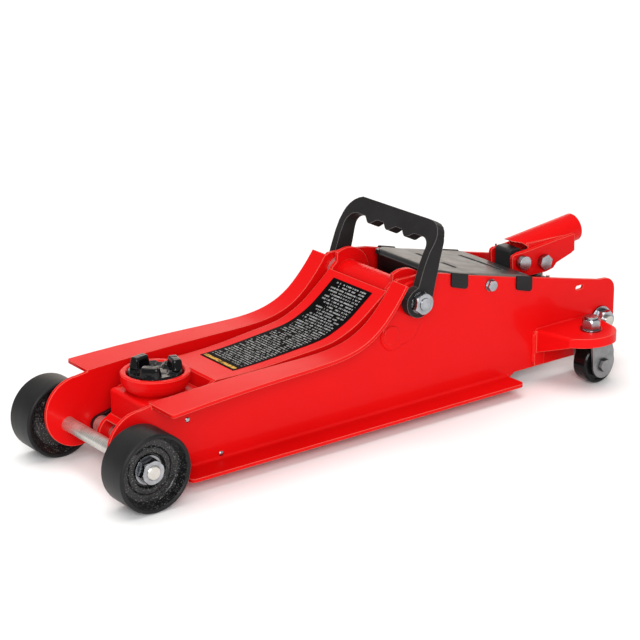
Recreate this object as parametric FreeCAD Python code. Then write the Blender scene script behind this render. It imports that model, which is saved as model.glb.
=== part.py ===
import FreeCAD, Part
import os
import math

V = FreeCAD.Vector
os.makedirs("parts", exist_ok=True)

# ---------------------------------------------------------------------------
# Low-profile hydraulic floor jack.  Millimetres, +Z up, saddle end at -X,
# pump handle socket at +X.  The profile numbers below are written with X = 0
# on the front axle; every solid is moved by -X0 when it is saved, so that the
# saved origin is the middle of the footprint on the floor.
# ---------------------------------------------------------------------------
WHEEL_R = 32.5            # front wheel radius
X_REAR = 520.0            # rear edge of the side plates
X0 = (X_REAR - WHEEL_R) / 2.0

T_PLATE = 3.0             # side plate sheet
Y_IN = 46.5               # inner face of a side plate
Y_OUT = Y_IN + T_PLATE

AXLE_R = 6.0              # front axle
AXLE_Z = 32.5
WHEEL_Y0, WHEEL_Y1 = 56.0, 86.0

PIVOT = (280.0, 108.0)    # lift arm pivot
LINK_P = (258.0, 80.0)    # levelling link, frame end
PIN_A = (50.0, 54.5)      # arm to saddle bracket
PIN_B = (28.0, 26.5)      # levelling link to saddle bracket
RAM_PIN = (297.5, 72.0)   # ram cross pin in the arm at rest
RAM_Z = 71.0
SADDLE_X = 55.5           # saddle centre line

CUP_TOP = 80.2
CUP_R = 28.5
SADDLE_TOP = 89.0

SOCKET_P = (435.0, 101.7) # handle socket pivot pin
ROLLER_P = (461.5, 97.3)  # pump roller pin
PLUNGER_X = 459.0
TUBE_R, TUBE_BORE = 13.0, 11.2
TUBE_ANGLE = 7.2          # degrees above level
TUBE_C = (512.0, 116.6)   # centre of the open end

TIE = (503.0, 43.5)       # rear tie rod
KING = (462.5, 80.0)      # caster kingpin x, |y|
CASTER_R, CASTER_W = 18.5, 16.0
CASTER_X = 467.5

CLR = 0.05                # running clearance on a radius


# ------------------------------ helpers ------------------------------------
def poly(points, axis="Y", depth=1.0, at=0.0):
    """Closed polygon extruded along an axis, starting at coordinate at."""
    if axis == "Y":
        pts = [V(a, at, b) for a, b in points]
        d = V(0, depth, 0)
    elif axis == "Z":
        pts = [V(a, b, at) for a, b in points]
        d = V(0, 0, depth)
    else:
        pts = [V(at, a, b) for a, b in points]
        d = V(depth, 0, 0)
    w = Part.makePolygon(pts + [pts[0]])
    return Part.Face(w).extrude(d)


def box(x0, x1, y0, y1, z0, z1):
    return Part.makeBox(x1 - x0, y1 - y0, z1 - z0, V(x0, y0, z0))


def cyl_y(r, x, z, y0, y1):
    return Part.makeCylinder(r, y1 - y0, V(x, y0, z), V(0, 1, 0))


def cyl_x(r, x0, x1, y, z):
    return Part.makeCylinder(r, x1 - x0, V(x0, y, z), V(1, 0, 0))


def cyl_z(r, x, y, z0, z1):
    return Part.makeCylinder(r, z1 - z0, V(x, y, z0), V(0, 0, 1))


def hex_y(af, x, z, y0, y1, turn=0.0):
    r = af / math.sqrt(3.0)
    pts = [(x + r * math.cos(math.radians(60 * i + turn)), z + r * math.sin(math.radians(60 * i + turn))) for i in range(6)]
    s = poly(pts, "Y", y1 - y0, y0)
    cone_r = af / 2.0 * 1.02
    h = abs(y1 - y0)
    # chamfered crown towards the larger |y|
    c = Part.makeCone(r * 1.35, cone_r, h, V(x, y0, z), V(0, 1, 0)) if h > 0 else s
    return s.common(c)


def hex_z(af, x, y, z0, z1, turn=0.0):
    r = af / math.sqrt(3.0)
    pts = [(x + r * math.cos(math.radians(60 * i + turn)), y + r * math.sin(math.radians(60 * i + turn))) for i in range(6)]
    s = poly(pts, "Z", z1 - z0, z0)
    c = Part.makeCone(r * 1.35, af / 2.0 * 1.02, z1 - z0, V(x, y, z0), V(0, 0, 1))
    return s.common(c)


def mirror(s):
    return s.mirror(V(0, 0, 0), V(0, 1, 0))


def fuse(*shapes):
    out = shapes[0]
    for s in shapes[1:]:
        out = out.fuse(s)
    return out.removeSplitter()


def both(s):
    """The part and its mirror image, as separate solids in one node."""
    return Part.makeCompound([s, mirror(s)])


def try_fillet(s, r, edges):
    if not edges:
        return s
    try:
        f = s.makeFillet(r, edges)
        if f.isValid() and f.Volume > 0:
            return f
    except Exception:
        pass
    return s


def try_fillet_each(s, r, pick, limit=60):
    """Fillet the picked edges together, or one by one if that fails."""
    edges = [e for e in s.Edges if pick(e)]
    if not edges:
        return s
    f = try_fillet(s, r, edges)
    if f is not s:
        return f
    done = s
    for k in range(limit):
        cand = [e for e in done.Edges if pick(e)]
        hit = False
        for e in cand:
            g = try_fillet(done, r, [e])
            if g is not done:
                done = g
                hit = True
                break
        if not hit:
            break
    return done


def hull2(x1, z1, r1, x2, z2, r2, y0, y1):
    """Plate shaped as two circles and their outer tangents, in XZ."""
    d = math.hypot(x2 - x1, z2 - z1)
    a = math.atan2(z2 - z1, x2 - x1)
    b = math.acos(max(-1.0, min(1.0, (r1 - r2) / d)))
    p = []
    for s in (1, -1):
        p.append(((x1 + r1 * math.cos(a + s * b), z1 + r1 * math.sin(a + s * b)),
                  (x2 + r2 * math.cos(a + s * b), z2 + r2 * math.sin(a + s * b))))
    quad = [p[0][0], p[0][1], p[1][1], p[1][0]]
    return fuse(poly(quad, "Y", y1 - y0, y0), cyl_y(r1, x1, z1, y0, y1), cyl_y(r2, x2, z2, y0, y1))


SAVED = {}


def save(name, shape):
    s = shape.copy()
    s.translate(V(-X0, 0, 0))
    solids = s.Solids
    if not solids:
        raise RuntimeError(name + " has no solid")
    if len(solids) == 1:
        s = solids[0]
    else:
        s = Part.makeCompound(solids)
    bad = [i for i, q in enumerate(solids) if not q.isValid()]
    print("%-26s solids %d  volume %.0f  %s" % (name, len(solids), sum(q.Volume for q in solids), "INVALID" if bad else ""))
    s.exportStep("parts/%s.step" % name)
    SAVED[name] = s


def spline(points):
    c = Part.BSplineCurve()
    c.interpolate([V(x, 0, z) for x, z in points])
    return c


def offset_points(curve, dist, n=40):
    a, b = curve.FirstParameter, curve.LastParameter
    out = []
    for i in range(n + 1):
        t = a + (b - a) * i / n
        p = curve.value(t)
        d = curve.tangent(t)[0]
        out.append((p.x + d.z * dist, p.z - d.x * dist))
    return out


def band(points, thick, y0, y1, n=40):
    """Curved sheet: a spline in XZ thickened downwards, extruded along Y."""
    top = spline(points)
    low = spline(offset_points(top, thick, n))
    e1 = top.toShape()
    e2 = low.toShape()
    a0, a1 = top.value(top.FirstParameter), top.value(top.LastParameter)
    b0, b1 = low.value(low.FirstParameter), low.value(low.LastParameter)
    w = Part.Wire([e1, Part.makeLine(a1, b1), e2.reversed(), Part.makeLine(b0, a0)])
    f = Part.Face(w)
    s = f.extrude(V(0, y1 - y0, 0))
    s.translate(V(0, y0, 0))
    return s


def dense(points, n=60):
    c = spline(points)
    a, b = c.FirstParameter, c.LastParameter
    return [(c.value(a + (b - a) * i / n).x, c.value(a + (b - a) * i / n).z) for i in range(n + 1)]


# ------------------------------ side plates --------------------------------
FLANGE = [(20, 74.6), (50, 76.2), (90, 77.7), (130, 78.4), (170, 78.8), (200, 81.0), (220, 86.6),
          (235, 95.4), (246, 105.5), (255, 115.8), (263, 126.6)]
F_DENSE = dense(FLANGE, 60)
NOSE = (9.5, 41.5, 30.0)


def side_plate():
    # web outline, counter-clockwise from the nose top
    top = offset_points(spline(FLANGE), 1.5, 60)
    pts = list(top)
    pts += [(266.5, 127.4), (288, 127.2), (308.8, 124.9), (345.8, 115.7), (397.8, 103.6), (500, 80.9)]
    for a in (80, 60, 40, 20, 0):
        pts.append((508 + 12 * math.cos(math.radians(a)), 68.4 + 12 * math.sin(math.radians(a))))
    pts += [(520, 36), (516, 30), (492, 14.3), (400, 14.3), (392, 9.5), (41, 9.5), (30, 11.0)]
    for a in range(-60, -271, -15):
        pts.append((NOSE[0] + NOSE[2] * math.cos(math.radians(a)), NOSE[1] + NOSE[2] * math.sin(math.radians(a))))
    web = poly(pts, "Y", T_PLATE, Y_IN)
    # the nose is a true circle
    web = fuse(web, cyl_y(NOSE[2], NOSE[0], NOSE[1], Y_IN, Y_OUT))
    # top flange, tapering towards the rear
    fl = band(FLANGE, T_PLATE, Y_IN, 82.0)
    taper = poly([(0, Y_IN - 1), (0, 81.4), (235, 66.6), (262, 65.4), (275, 65.4), (275, Y_IN - 1)], "Z", 200, 0)
    fl = fl.common(taper)
    low = box(41, 392, Y_IN, 73.0, 9.5, 12.5)
    def corner(x, y, r, sx, z0, z1):
        """Material outside a rounded corner at (x, y); sx points into the plate along X."""
        b = box(min(x - sx, x + sx * r), max(x - sx, x + sx * r), y - r, y + 1.0, z0, z1)
        return b.cut(cyl_z(r, x + sx * r, y - r, z0 - 1, z1 + 1))
    low = low.cut(corner(41.0, 73.0, 4.0, 1, 6, 16)).cut(corner(392.0, 73.0, 5.5, -1, 6, 16))
    fl = fl.cut(corner(fl.BoundBox.XMin, 80.1, 3.5, 1, 66, 90))
    s = fuse(web, fl, low)
    # sheet bends
    def up_outer(e):
        b = e.BoundBox
        return abs(b.YMin - Y_IN) < 0.02 and abs(b.YMax - Y_IN) < 0.02 and b.XMin > 19 and b.XMax < 266 and b.ZMin > 74 and b.XLength > 3
    def up_inner(e):
        b = e.BoundBox
        return abs(b.YMin - Y_OUT) < 0.02 and abs(b.YMax - Y_OUT) < 0.02 and b.XMin > 19 and b.XMax < 268 and b.ZMin > 70 and b.XLength > 30
    def lo_outer(e):
        b = e.BoundBox
        return abs(b.YMin - Y_IN) < 0.02 and abs(b.YMax - Y_IN) < 0.02 and b.ZMax < 9.6 and b.XLength > 300
    def lo_inner(e):
        b = e.BoundBox
        return abs(b.YMin - Y_OUT) < 0.02 and abs(b.YMax - Y_OUT) < 0.02 and abs(b.ZMin - 12.5) < 0.05 and b.ZMax < 12.6 and b.XLength > 300
    s = try_fillet_each(s, 6.0, up_outer)
    s = try_fillet_each(s, 3.0, up_inner)
    s = try_fillet_each(s, 5.0, lo_outer)
    s = try_fillet_each(s, 2.5, lo_inner)
    # holes
    s = s.cut(cyl_y(AXLE_R, 0, AXLE_Z, 40, 60))
    s = s.cut(cyl_y(10.0, PIVOT[0], PIVOT[1], 40, 60))
    s = s.cut(cyl_y(6.0, LINK_P[0], LINK_P[1], 40, 60))
    s = s.cut(cyl_y(5.0, TIE[0], TIE[1], 40, 60))
    s = s.cut(cyl_y(3.0, 369.5, 101.9, 40, 60))
    slot = fuse(box(473.5, 479.0, 40, 60, 76.1, 80.1), cyl_y(2.0, 473.5, 78.1, 40, 60), cyl_y(2.0, 479.0, 78.1, 40, 60))
    s = s.cut(slot)
    s = s.cut(cyl_y(1.6, 84.5, 16.5, 40, 60))
    return s


sp = side_plate()
save("side_plate_right", sp)
save("side_plate_left", mirror(sp))

# pivot doublers welded outside the plates
dbl = hull2(PIVOT[0], PIVOT[1], 15.5, LINK_P[0] + 3, LINK_P[1] - 1, 13.0, Y_OUT, Y_OUT + 2.0)
dbl = fuse(dbl, hull2(PIVOT[0] + 4, PIVOT[1] - 4, 16.0, LINK_P[0] + 16, LINK_P[1] + 4, 14.5, Y_OUT, Y_OUT + 2.0))
def edge_out(e):
    b = e.BoundBox
    return abs(b.YMin - (Y_OUT + 2.0)) < 0.01 and abs(b.YMax - (Y_OUT + 2.0)) < 0.01
dbl = try_fillet_each(dbl, 1.7, edge_out)
dbl = dbl.cut(cyl_y(10.0, PIVOT[0], PIVOT[1], 40, 60)).cut(cyl_y(6.0, LINK_P[0], LINK_P[1], 40, 60))
save("pivot_doublers", both(dbl))

# cross members between the plates
mid = cyl_y(9.0, 205.0, 24.5, -Y_IN, Y_IN).cut(cyl_y(6.5, 205.0, 24.5, -Y_IN, Y_IN))
save("mid_cross_tube", mid)

# ------------------------------ front axle ---------------------------------
axle = cyl_y(AXLE_R, 0, AXLE_Z, -83.2, 83.2)
axle = axle.makeChamfer(0.8, [e for e in axle.Edges if e.BoundBox.YLength < 0.01])
save("front_axle", axle)

wash_in = cyl_y(11, 0, AXLE_Z, Y_OUT, 55.8).cut(cyl_y(AXLE_R, 0, AXLE_Z, 40, 90))
save("axle_spacers", both(wash_in))
wash = cyl_y(12.0, 0, AXLE_Z, 72.3, 74.5).cut(cyl_y(AXLE_R, 0, AXLE_Z, 40, 90))
save("axle_washers", both(wash))
nut = hex_y(18.8, 0, AXLE_Z, 74.5, 82.0, 12).cut(cyl_y(AXLE_R, 0, AXLE_Z, 40, 90))
save("axle_nuts", both(nut))


def front_wheel():
    # revolve the half section about the axle: (radius, |y|)
    pts = [(AXLE_R + CLR, 56.0), (12.0, 56.0), (12.0, 60.0), (24.0, 62.5), (28.8, 57.0), (31.3, 56.0), (WHEEL_R, 57.2),
           (WHEEL_R, 84.8), (31.6, 86.0), (29.3, 86.0), (28.6, 84.8), (26.6, 77.0), (19.5, 74.6), (18.6, 76.2), (14.2, 76.4),
           (13.4, 72.2), (AXLE_R + CLR, 72.2)]
    w = Part.makePolygon([V(r, y, 0) for r, y in pts + [pts[0]]])
    s = Part.Face(w).revolve(V(0, 0, 0), V(0, 1, 0), 360)
    s.translate(V(0, 0, AXLE_Z))
    return s


fw = front_wheel()
save("front_wheel_right", fw)
save("front_wheel_left", mirror(fw))

# ------------------------------ lift arm -----------------------------------
ARM_TOP = [(92, 73.2), (115, 73.2), (135, 74.0), (155, 75.6), (175, 77.6), (195, 79.6), (208, 82.0), (219, 86.0), (230, 91.4),
           (241, 99.0), (252, 107.6), (262, 115.6)]
ARM_T = 3.5


def arm_half(x):
    return 33.0 + (x - 90.0) * 0.0395


def arm_channel():
    top = band(ARM_TOP, ARM_T, -50, 50)
    xa, xb = 40.0, 330.0
    trap = poly([(xa, -arm_half(xa)), (xb, -arm_half(xb)), (xb, arm_half(xb)), (xa, arm_half(xa))], "Z", 300, -50)
    inner = poly([(xa - 60, -arm_half(xa - 60) + ARM_T), (xb + 60, -arm_half(xb + 60) + ARM_T), (xb + 60, arm_half(xb + 60) - ARM_T),
                  (xa - 60, arm_half(xa - 60) - ARM_T)], "Z", 300, -50)
    # side wall outline
    walls_top = [(PIN_A[0], PIN_A[1] + 9.5), (62, 63.0), (74, 63.5), (84, 68.0), (90, 72.2)] + offset_points(spline(ARM_TOP), 0.6, 40)
    out = walls_top + [(263, 117.5), (268, 121.5)]
    for a in range(118, -31, -8):
        out.append((PIVOT[0] + 24.0 * math.cos(math.radians(a)), PIVOT[1] + 24.0 * math.sin(math.radians(a))))
    out += [(307, 90), (309.3, 76.0), (308.0, 68.0), (303.0, 62.0), (296, 60.2), (288, 62.5), (276, 72), (262, 76), (240, 70), (200, 56),
            (150, 48.5), (100, 44.5), (64, 43.0)]
    for a in range(-60, -271, -15):
        out.append((PIN_A[0] + 11.0 * math.cos(math.radians(a)), PIN_A[1] + 11.0 * math.sin(math.radians(a))))
    walls = poly(out, "Y", 110, -55)
    walls = walls.common(trap).cut(inner)
    # front lip between the walls
    lip = poly([(88.4, 58.5), (91.6, 58.0), (95.5, 71.0), (95.5, 72.0), (92.0, 73.0), (90.2, 71.6)], "Y", 110, -55).common(trap)
    s = fuse(top.common(trap), walls, lip)
    # rounded sheet bend along both shoulders
    def shoulder(e):
        b = e.BoundBox
        ym = max(abs(b.YMin), abs(b.YMax))
        c = e.CenterOfMass
        return abs(abs(c.y) - arm_half(c.x)) < 0.3 and b.XMin > 88 and b.XMax < 263 and b.XLength > 20 and c.z > ARM_TOP[0][1] - 1 and abs(b.YMin - b.YMax) > 0.5
    g = try_fillet_each(s, 3.2, shoulder)
    s = g
    for x, z, r in ((PIVOT[0], PIVOT[1], 13.0), (PIN_A[0], PIN_A[1], 5.0), (RAM_PIN[0], RAM_PIN[1], 7.0)):
        s = s.cut(cyl_y(r, x, z, -60, 60))
    return s


arm = arm_channel()
save("lift_arm", arm)
XP = PIVOT[0]
yt = arm_half(XP - 13.0)
tube = cyl_y(13.0, XP, PIVOT[1], -yt, yt).cut(cyl_y(10.0 + CLR, XP, PIVOT[1], -60, 60))
save("arm_pivot_tube", tube)
shaft = cyl_y(10.0, XP, PIVOT[1], -51.5, 51.5)
for s in (1, -1):
    y0 = 51.5 - 24 if s > 0 else -51.5
    shaft = shaft.cut(cyl_y(6.0, XP, PIVOT[1], y0, y0 + 24))
save("pivot_shaft", shaft)
# spacing rings between arm and plates
ring = cyl_y(16.0, XP, PIVOT[1], 41.6, Y_IN).cut(cyl_y(10.0, XP, PIVOT[1], 30, 60))
save("pivot_spacers", both(ring))
xr, zr = RAM_PIN
ram_pin = cyl_y(7.0, xr, zr, -arm_half(xr - 7), arm_half(xr - 7))
save("ram_cross_pin", ram_pin)
xa, za = PIN_A
pin_a = cyl_y(5.0, xa, za, -35.0, 35.0)
save("saddle_pin", pin_a)
clip = cyl_y(8.0, xa, za, 33.0, 34.4).cut(cyl_y(5.0, xa, za, 20, 50))
save("saddle_pin_clips", both(clip))
# decal plate on the arm, a thin sheet following the top
DEC = [(114.5, 73.2 + 0.35), (135, 74.0 + 0.35), (155, 75.6 + 0.35), (175, 77.6 + 0.35), (195, 79.6 + 0.35), (208, 82.0 + 0.35),
       (219, 86.0 + 0.35), (230, 91.4 + 0.35), (241, 99.0 + 0.35), (252, 107.6 + 0.35), (257.5, 112.0 + 0.35)]
arm_curve = spline(ARM_TOP)
a0 = arm_curve.parameter(V(114.5, 0, 73.2))
a1 = arm_curve.parameter(V(257.5, 0, 112.0))
pts_low = []
for i in range(41):
    t = a0 + (a1 - a0) * i / 40
    p = arm_curve.value(t)
    d = arm_curve.tangent(t)[0]
    pts_low.append((p.x, p.z))
lowc = arm_curve.copy()
lowc.segment(a0, a1)
up = spline([(p[0] - 0.4 * arm_curve.tangent(arm_curve.parameter(V(p[0], 0, p[1])))[0].z,
              p[1] + 0.4 * arm_curve.tangent(arm_curve.parameter(V(p[0], 0, p[1])))[0].x) for p in pts_low])
w = Part.Wire([up.toShape(), Part.makeLine(up.value(up.LastParameter), lowc.value(lowc.LastParameter)), lowc.toShape().reversed(),
               Part.makeLine(lowc.value(lowc.FirstParameter), up.value(up.FirstParameter))])
dec = Part.Face(w).extrude(V(0, 60, 0))
dec.translate(V(0, -30, 0))
dec = dec.common(poly([(110, -24.3), (262, -27.2), (262, 27.2), (110, 24.3)], "Z", 100, 50))
save("arm_label", dec)

# ------------------------------ levelling links ----------------------------
lk = hull2(PIN_B[0], PIN_B[1], 8.0, LINK_P[0], LINK_P[1], 8.0, 42.0, 45.9)
lk = lk.cut(hull2(PIN_B[0], PIN_B[1], 2.0, LINK_P[0], LINK_P[1], 2.0, 44.9, 47.0).common(box(60, 235, 40, 50, 0, 120)))
lk = lk.cut(cyl_y(5.0 + CLR, PIN_B[0], PIN_B[1], 30, 60)).cut(cyl_y(5.0 + CLR, LINK_P[0], LINK_P[1], 30, 60))
save("level_links", both(lk))
stub = fuse(cyl_y(5.0, LINK_P[0], LINK_P[1], 41.6, Y_IN), cyl_y(6.0, LINK_P[0], LINK_P[1], Y_IN, Y_OUT + 2.0))
head = Part.makeCylinder(8.5, 1.0, V(LINK_P[0], Y_OUT + 2.0, LINK_P[1]), V(0, 1, 0))
head = try_fillet(head, 0.9, [e for e in head.Edges if e.BoundBox.YMin > Y_OUT + 2.9])
save("link_pins", both(fuse(stub, head)))

# ------------------------------ saddle bracket -----------------------------
br_t = 3.5
out = [(27.0, 64.3), (84.0, 64.3), (84.0, 58.0)]
ear = [(84.0, 64.3), (84.0, 57.0), (66, 48.0), (58, 43.0), (44, 22.0)]
for a in range(-50, -251, -12):
    ear.append((PIN_B[0] + 14.0 * math.cos(math.radians(a)), PIN_B[1] + 14.0 * math.sin(math.radians(a))))
ear += [(22.5, 39.5), (27.0, 42.0), (27.0, 64.3)]
solid = poly(ear, "Y", 51.2, -25.6)
hollow = box(30.5, 100, -25.6 + br_t, 25.6 - br_t, 0, 64.3 - br_t)
hollow2 = box(0, 30.6, -25.6 + br_t, 25.6 - br_t, 0, 38.5)
br = solid.cut(hollow).cut(hollow2)
def br_edges(e):
    b = e.BoundBox
    top = abs(b.ZMin - 64.3) < 0.01 and abs(b.ZMax - 64.3) < 0.01 and (b.XMin < 27.1)
    corner = b.XMax < 27.1 and b.XMin > 26.9 and b.ZLength > 15 and b.YLength < 0.01
    return top or corner
br = try_fillet_each(br, 3.0, br_edges)
br = br.cut(cyl_y(5.0 + CLR, xa, za, -60, 60)).cut(cyl_y(5.0, PIN_B[0], PIN_B[1], -60, 60))
br = br.cut(cyl_z(8.0, SADDLE_X, 0, 50, 70))
save("saddle_bracket", br)
pin_b = cyl_y(5.0, PIN_B[0], PIN_B[1], -46.2, 46.2)
save("link_front_pin", pin_b)
sl = cyl_y(8.0, PIN_B[0], PIN_B[1], 25.6, 41.8).cut(cyl_y(5.0, PIN_B[0], PIN_B[1], 0, 60))
save("link_spacers", both(sl))


def revolve_z(pts, x, y):
    w = Part.makePolygon([V(r, 0, z) for r, z in pts + [pts[0]]])
    s = Part.Face(w).revolve(V(0, 0, 0), V(0, 0, 1), 360)
    s.translate(V(x, y, 0))
    return s


cup = revolve_z([(8.0, 64.3), (8.0, 67.6), (22.4, 67.6), (23.4, 69.0), (23.4, 78.9), (24.6, CUP_TOP), (27.4, CUP_TOP), (CUP_R, 79.2),
                 (CUP_R, 74.5), (27.9, 71.6), (26.6, 69.0), (24.6, 66.6), (21.8, 64.3)], SADDLE_X, 0)
save("saddle_cup", cup)

# swivelling saddle: a stem in the cup's bearing hole and three raised lugs
st = 8.0 - CLR
sad = revolve_z([(0, 61.4), (st, 61.4), (st, 67.7), (22.0, 67.7), (22.7, 69.0), (22.7, 80.2), (21.6, 81.9), (18.4, 81.9), (16.8, 80.6),
                 (13.4, 79.2), (0, 78.8)], SADDLE_X, 0)
for a in (105, -15, -135):
    lug = poly([(-7.6, 80.0), (7.6, 80.0), (7.3, 87.8), (6.2, SADDLE_TOP), (-6.2, SADDLE_TOP), (-7.3, 87.8)], "X", 8.0, 13.2)
    lug.rotate(V(0, 0, 0), V(0, 0, 1), a)
    lug.translate(V(SADDLE_X, 0, 0))
    sad = sad.fuse(lug)
for a in (45, 165, 285):
    g = box(10, 30, -3.0, 3.0, 80.6, 90)
    g.rotate(V(0, 0, 0), V(0, 0, 1), a)
    g.translate(V(SADDLE_X, 0, 0))
    sad = sad.cut(g)
sad = sad.removeSplitter()
save("saddle", sad)
circ = cyl_z(11.0, SADDLE_X, 0, 59.65, 60.75)
circ = fuse(circ, cyl_z(4.0, SADDLE_X, 0, 60.7, 61.4))
save("saddle_retainer", circ)

# ------------------------------ carry handle -------------------------------
LEAN = 26.0
ca, sa = math.cos(math.radians(LEAN)), math.sin(math.radians(LEAN))
HY = 62.4


def hp(d, v):
    """Point at height v up the leaning handle and depth d behind its front face."""
    x0h, z0h = 289.2, 136.0
    return (x0h + v * sa + d * ca, z0h + v * ca - d * sa)


side = [(306.5, 171.4), (314.2, 167.6), (307.4, 159.5), (304.4, 152.0), (301.4, 141.5), (299.2, 131.5), (296.6, 121.5), (293.8, 109.0)]
for a in range(0, -181, -15):
    side.append((PIVOT[0] + 13.8 * math.cos(math.radians(a)), PIVOT[1] + 13.8 * math.sin(math.radians(a))))
side += [(267.0, 113.0), (271.5, 117.8), (278.4, 121.0), (281.6, 130.0), (285.4, 140.2), (290.0, 149.7), (295.2, 157.0), (300.6, 164.2)]
prof = poly(side, "Y", 2 * HY, -HY)
# front outline of the U in (y, v)
zt = 39.4
outer = []
R1 = 19.0
outer += [(-HY, -60), (-HY, zt - R1)]
for a in range(165, 89, -15):
    outer.append((-HY + R1 + R1 * math.cos(math.radians(a)), zt - R1 + R1 * math.sin(math.radians(a))))
for a in range(75, -1, -15):
    outer.append((HY - R1 + R1 * math.cos(math.radians(a)), zt - R1 + R1 * math.sin(math.radians(a))))
outer += [(HY, -60)]
YI = 54.8
zb = zt - 16.0
under = [(YI, -60), (YI, zb - 10)]
for a in range(15, 91, 15):
    under.append((YI - 10 + 10 * math.cos(math.radians(a)), zb - 10 + 10 * math.sin(math.radians(a))))
n = 96
for i in range(1, n):
    y = (YI - 10) - (2 * (YI - 10)) * i / n
    # four finger grooves, three lobes between them
    ph = y / 25.0
    lobe = 0.0
    for c in (-1, 0, 1):
        q = abs(ph - c)
        if q < 0.36:
            lobe = max(lobe, 5.2 * (0.5 + 0.5 * math.cos(math.pi * q / 0.36)) ** 0.8)
    under.append((y, zb - lobe))
for a in range(90, 166, 15):
    under.append((-YI + 10 + 10 * math.cos(math.radians(a)), zb - 10 + 10 * math.sin(math.radians(a))))
under += [(-YI, zb - 10), (-YI, -60)]
loop = outer + under
ptsu = []
for y, v in loop:
    xx, zz = hp(-40, v)
    ptsu.append(V(xx, y, zz))
u_face = Part.Face(Part.makePolygon(ptsu + [ptsu[0]]))
u = u_face.extrude(V(ca * 110, 0, -sa * 110))
handle = prof.common(u)
handle = handle.Solids[0] if len(handle.Solids) == 1 else handle
handle = fuse(handle, cyl_y(11.5, PIVOT[0], PIVOT[1], 52.2, 55.5), cyl_y(11.5, PIVOT[0], PIVOT[1], -55.5, -52.2))
handle = handle.cut(cyl_y(6.0 + CLR, PIVOT[0], PIVOT[1], -80, 80))
save("carry_handle", handle)
hb = fuse(cyl_y(6.0, PIVOT[0], PIVOT[1], 30.0, 64.0), cyl_y(9.6, PIVOT[0], PIVOT[1], 62.5, 63.2), hex_y(17.4, PIVOT[0], PIVOT[1], 63.2, 69.2, 22),
          cyl_y(5.2, PIVOT[0], PIVOT[1], 69.1, 70.0))
save("handle_bolts", both(hb))

# ------------------------------ rear tie rod -------------------------------
tie = cyl_y(5.0, TIE[0], TIE[1], -62.5, 62.5)
save("rear_tie_rod", tie)
tw = cyl_y(11.5, TIE[0], TIE[1], Y_OUT, 51.5).cut(cyl_y(5.0, TIE[0], TIE[1], 30, 70))
save("tie_washers", both(tw))
tn = hex_y(16.5, TIE[0], TIE[1], 51.5, 59.5, 0).cut(cyl_y(5.0, TIE[0], TIE[1], 30, 70))
save("tie_nuts", both(tn))

# ------------------------------ caster brackets ----------------------------
KX, KY = KING
BT, BZ = 3.0, 49.5


def plan(off):
    """Bracket plan outline, moved inwards by off."""
    a = Part.makeLine(V(423 + off, Y_OUT, 0), V(431 + off, 86, 0))
    b = Part.Arc(V(431 + off, 86, 0), V(442.0 + off * 0.7, 98.0 - off * 0.7, 0), V(461, 103 - off, 0)).toShape()
    c = Part.Arc(V(461, 103 - off, 0), V(478.3 - off * 0.7, 96.3 - off * 0.7, 0), V(485.5 - off, 80, 0)).toShape()
    d = Part.makeLine(V(485.5 - off, 80, 0), V(492, Y_OUT, 0))
    e = Part.makeLine(V(492, Y_OUT, 0), V(423 + off, Y_OUT, 0))
    return Part.Face(Part.Wire([a, b, c, d, e]))


full = plan(0).extrude(V(0, 0, 24))
full.translate(V(0, 0, BZ - 24))
inner = plan(3.0).extrude(V(0, 0, 24))
inner.translate(V(0, 0, BZ - BT - 24))
# the rear side is open
open_rear = poly([(500, 40), (476.0, 92), (470, 80), (460, 40)], "Z", 24, BZ - BT - 24)
low_cut = poly([(Y_OUT - 1, 10), (Y_OUT - 1, 27.0), (72.0, 35.0), (88.0, 40.7), (110, 41.2), (110, 10)], "X", 120, 400)
cb = full.cut(inner).cut(low_cut)
cb = cb.cut(poly([(466, 46), (505, 46), (505, 78), (487, 84), (479, 84), (474, 70)], "Z", 24, BZ - BT - 24))
def cb_top(e):
    b = e.BoundBox
    return abs(b.ZMin - BZ) < 0.01 and abs(b.ZMax - BZ) < 0.01 and b.YMax > 51 and b.XMin < 482
cb = try_fillet_each(cb, 3.2, cb_top)
cb = fuse(cb, box(421.5, 433.0, Y_OUT, Y_OUT + 2.5, 16.0, 48.0))
cb = cb.cut(cyl_z(6.0, KX, KY, 30, 60))
save("caster_bracket_right", cb)
save("caster_bracket_left", mirror(cb))

kp = fuse(cyl_z(6.0, KX, KY, 38.2, 62.0), cyl_z(9.8, KX, KY, BZ, BZ + 1.6), hex_z(15.6, KX, KY, BZ + 1.6, 60.0, 10))
kp = fuse(kp, cyl_z(12.0, KX, KY, 43.6, BZ - BT))
save("kingpins", both(kp))


def caster_fork():
    top = fuse(cyl_z(15.8, KX, KY, 37.7, 40.2), box(KX - 9, KX + 14, KY - 12.5, KY + 12.5, 37.7, 40.2))
    s = top
    for y0 in (KY - 12.5, KY + 10.0):
        pts = [(KX - 9.0, 40.2), (KX + 14.0, 40.2), (CASTER_X + 12.2, 30.0), (CASTER_X + 12.2, 18.5)]
        for a in range(-15, -166, -15):
            pts.append((CASTER_X + 12.2 * math.cos(math.radians(a)), CASTER_R + 12.2 * math.sin(math.radians(a))))
        pts += [(CASTER_X - 12.2, 18.5)]
        s = s.fuse(poly(pts, "Y", 2.5, y0))
    s = s.fuse(cyl_z(12.5, KX, KY, 40.1, 43.4))
    s = s.removeSplitter()
    s = s.cut(cyl_z(6.0 + CLR, KX, KY, 30, 60)).cut(cyl_y(4.0, CASTER_X, CASTER_R, KY - 20, KY + 20))
    return s


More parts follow.
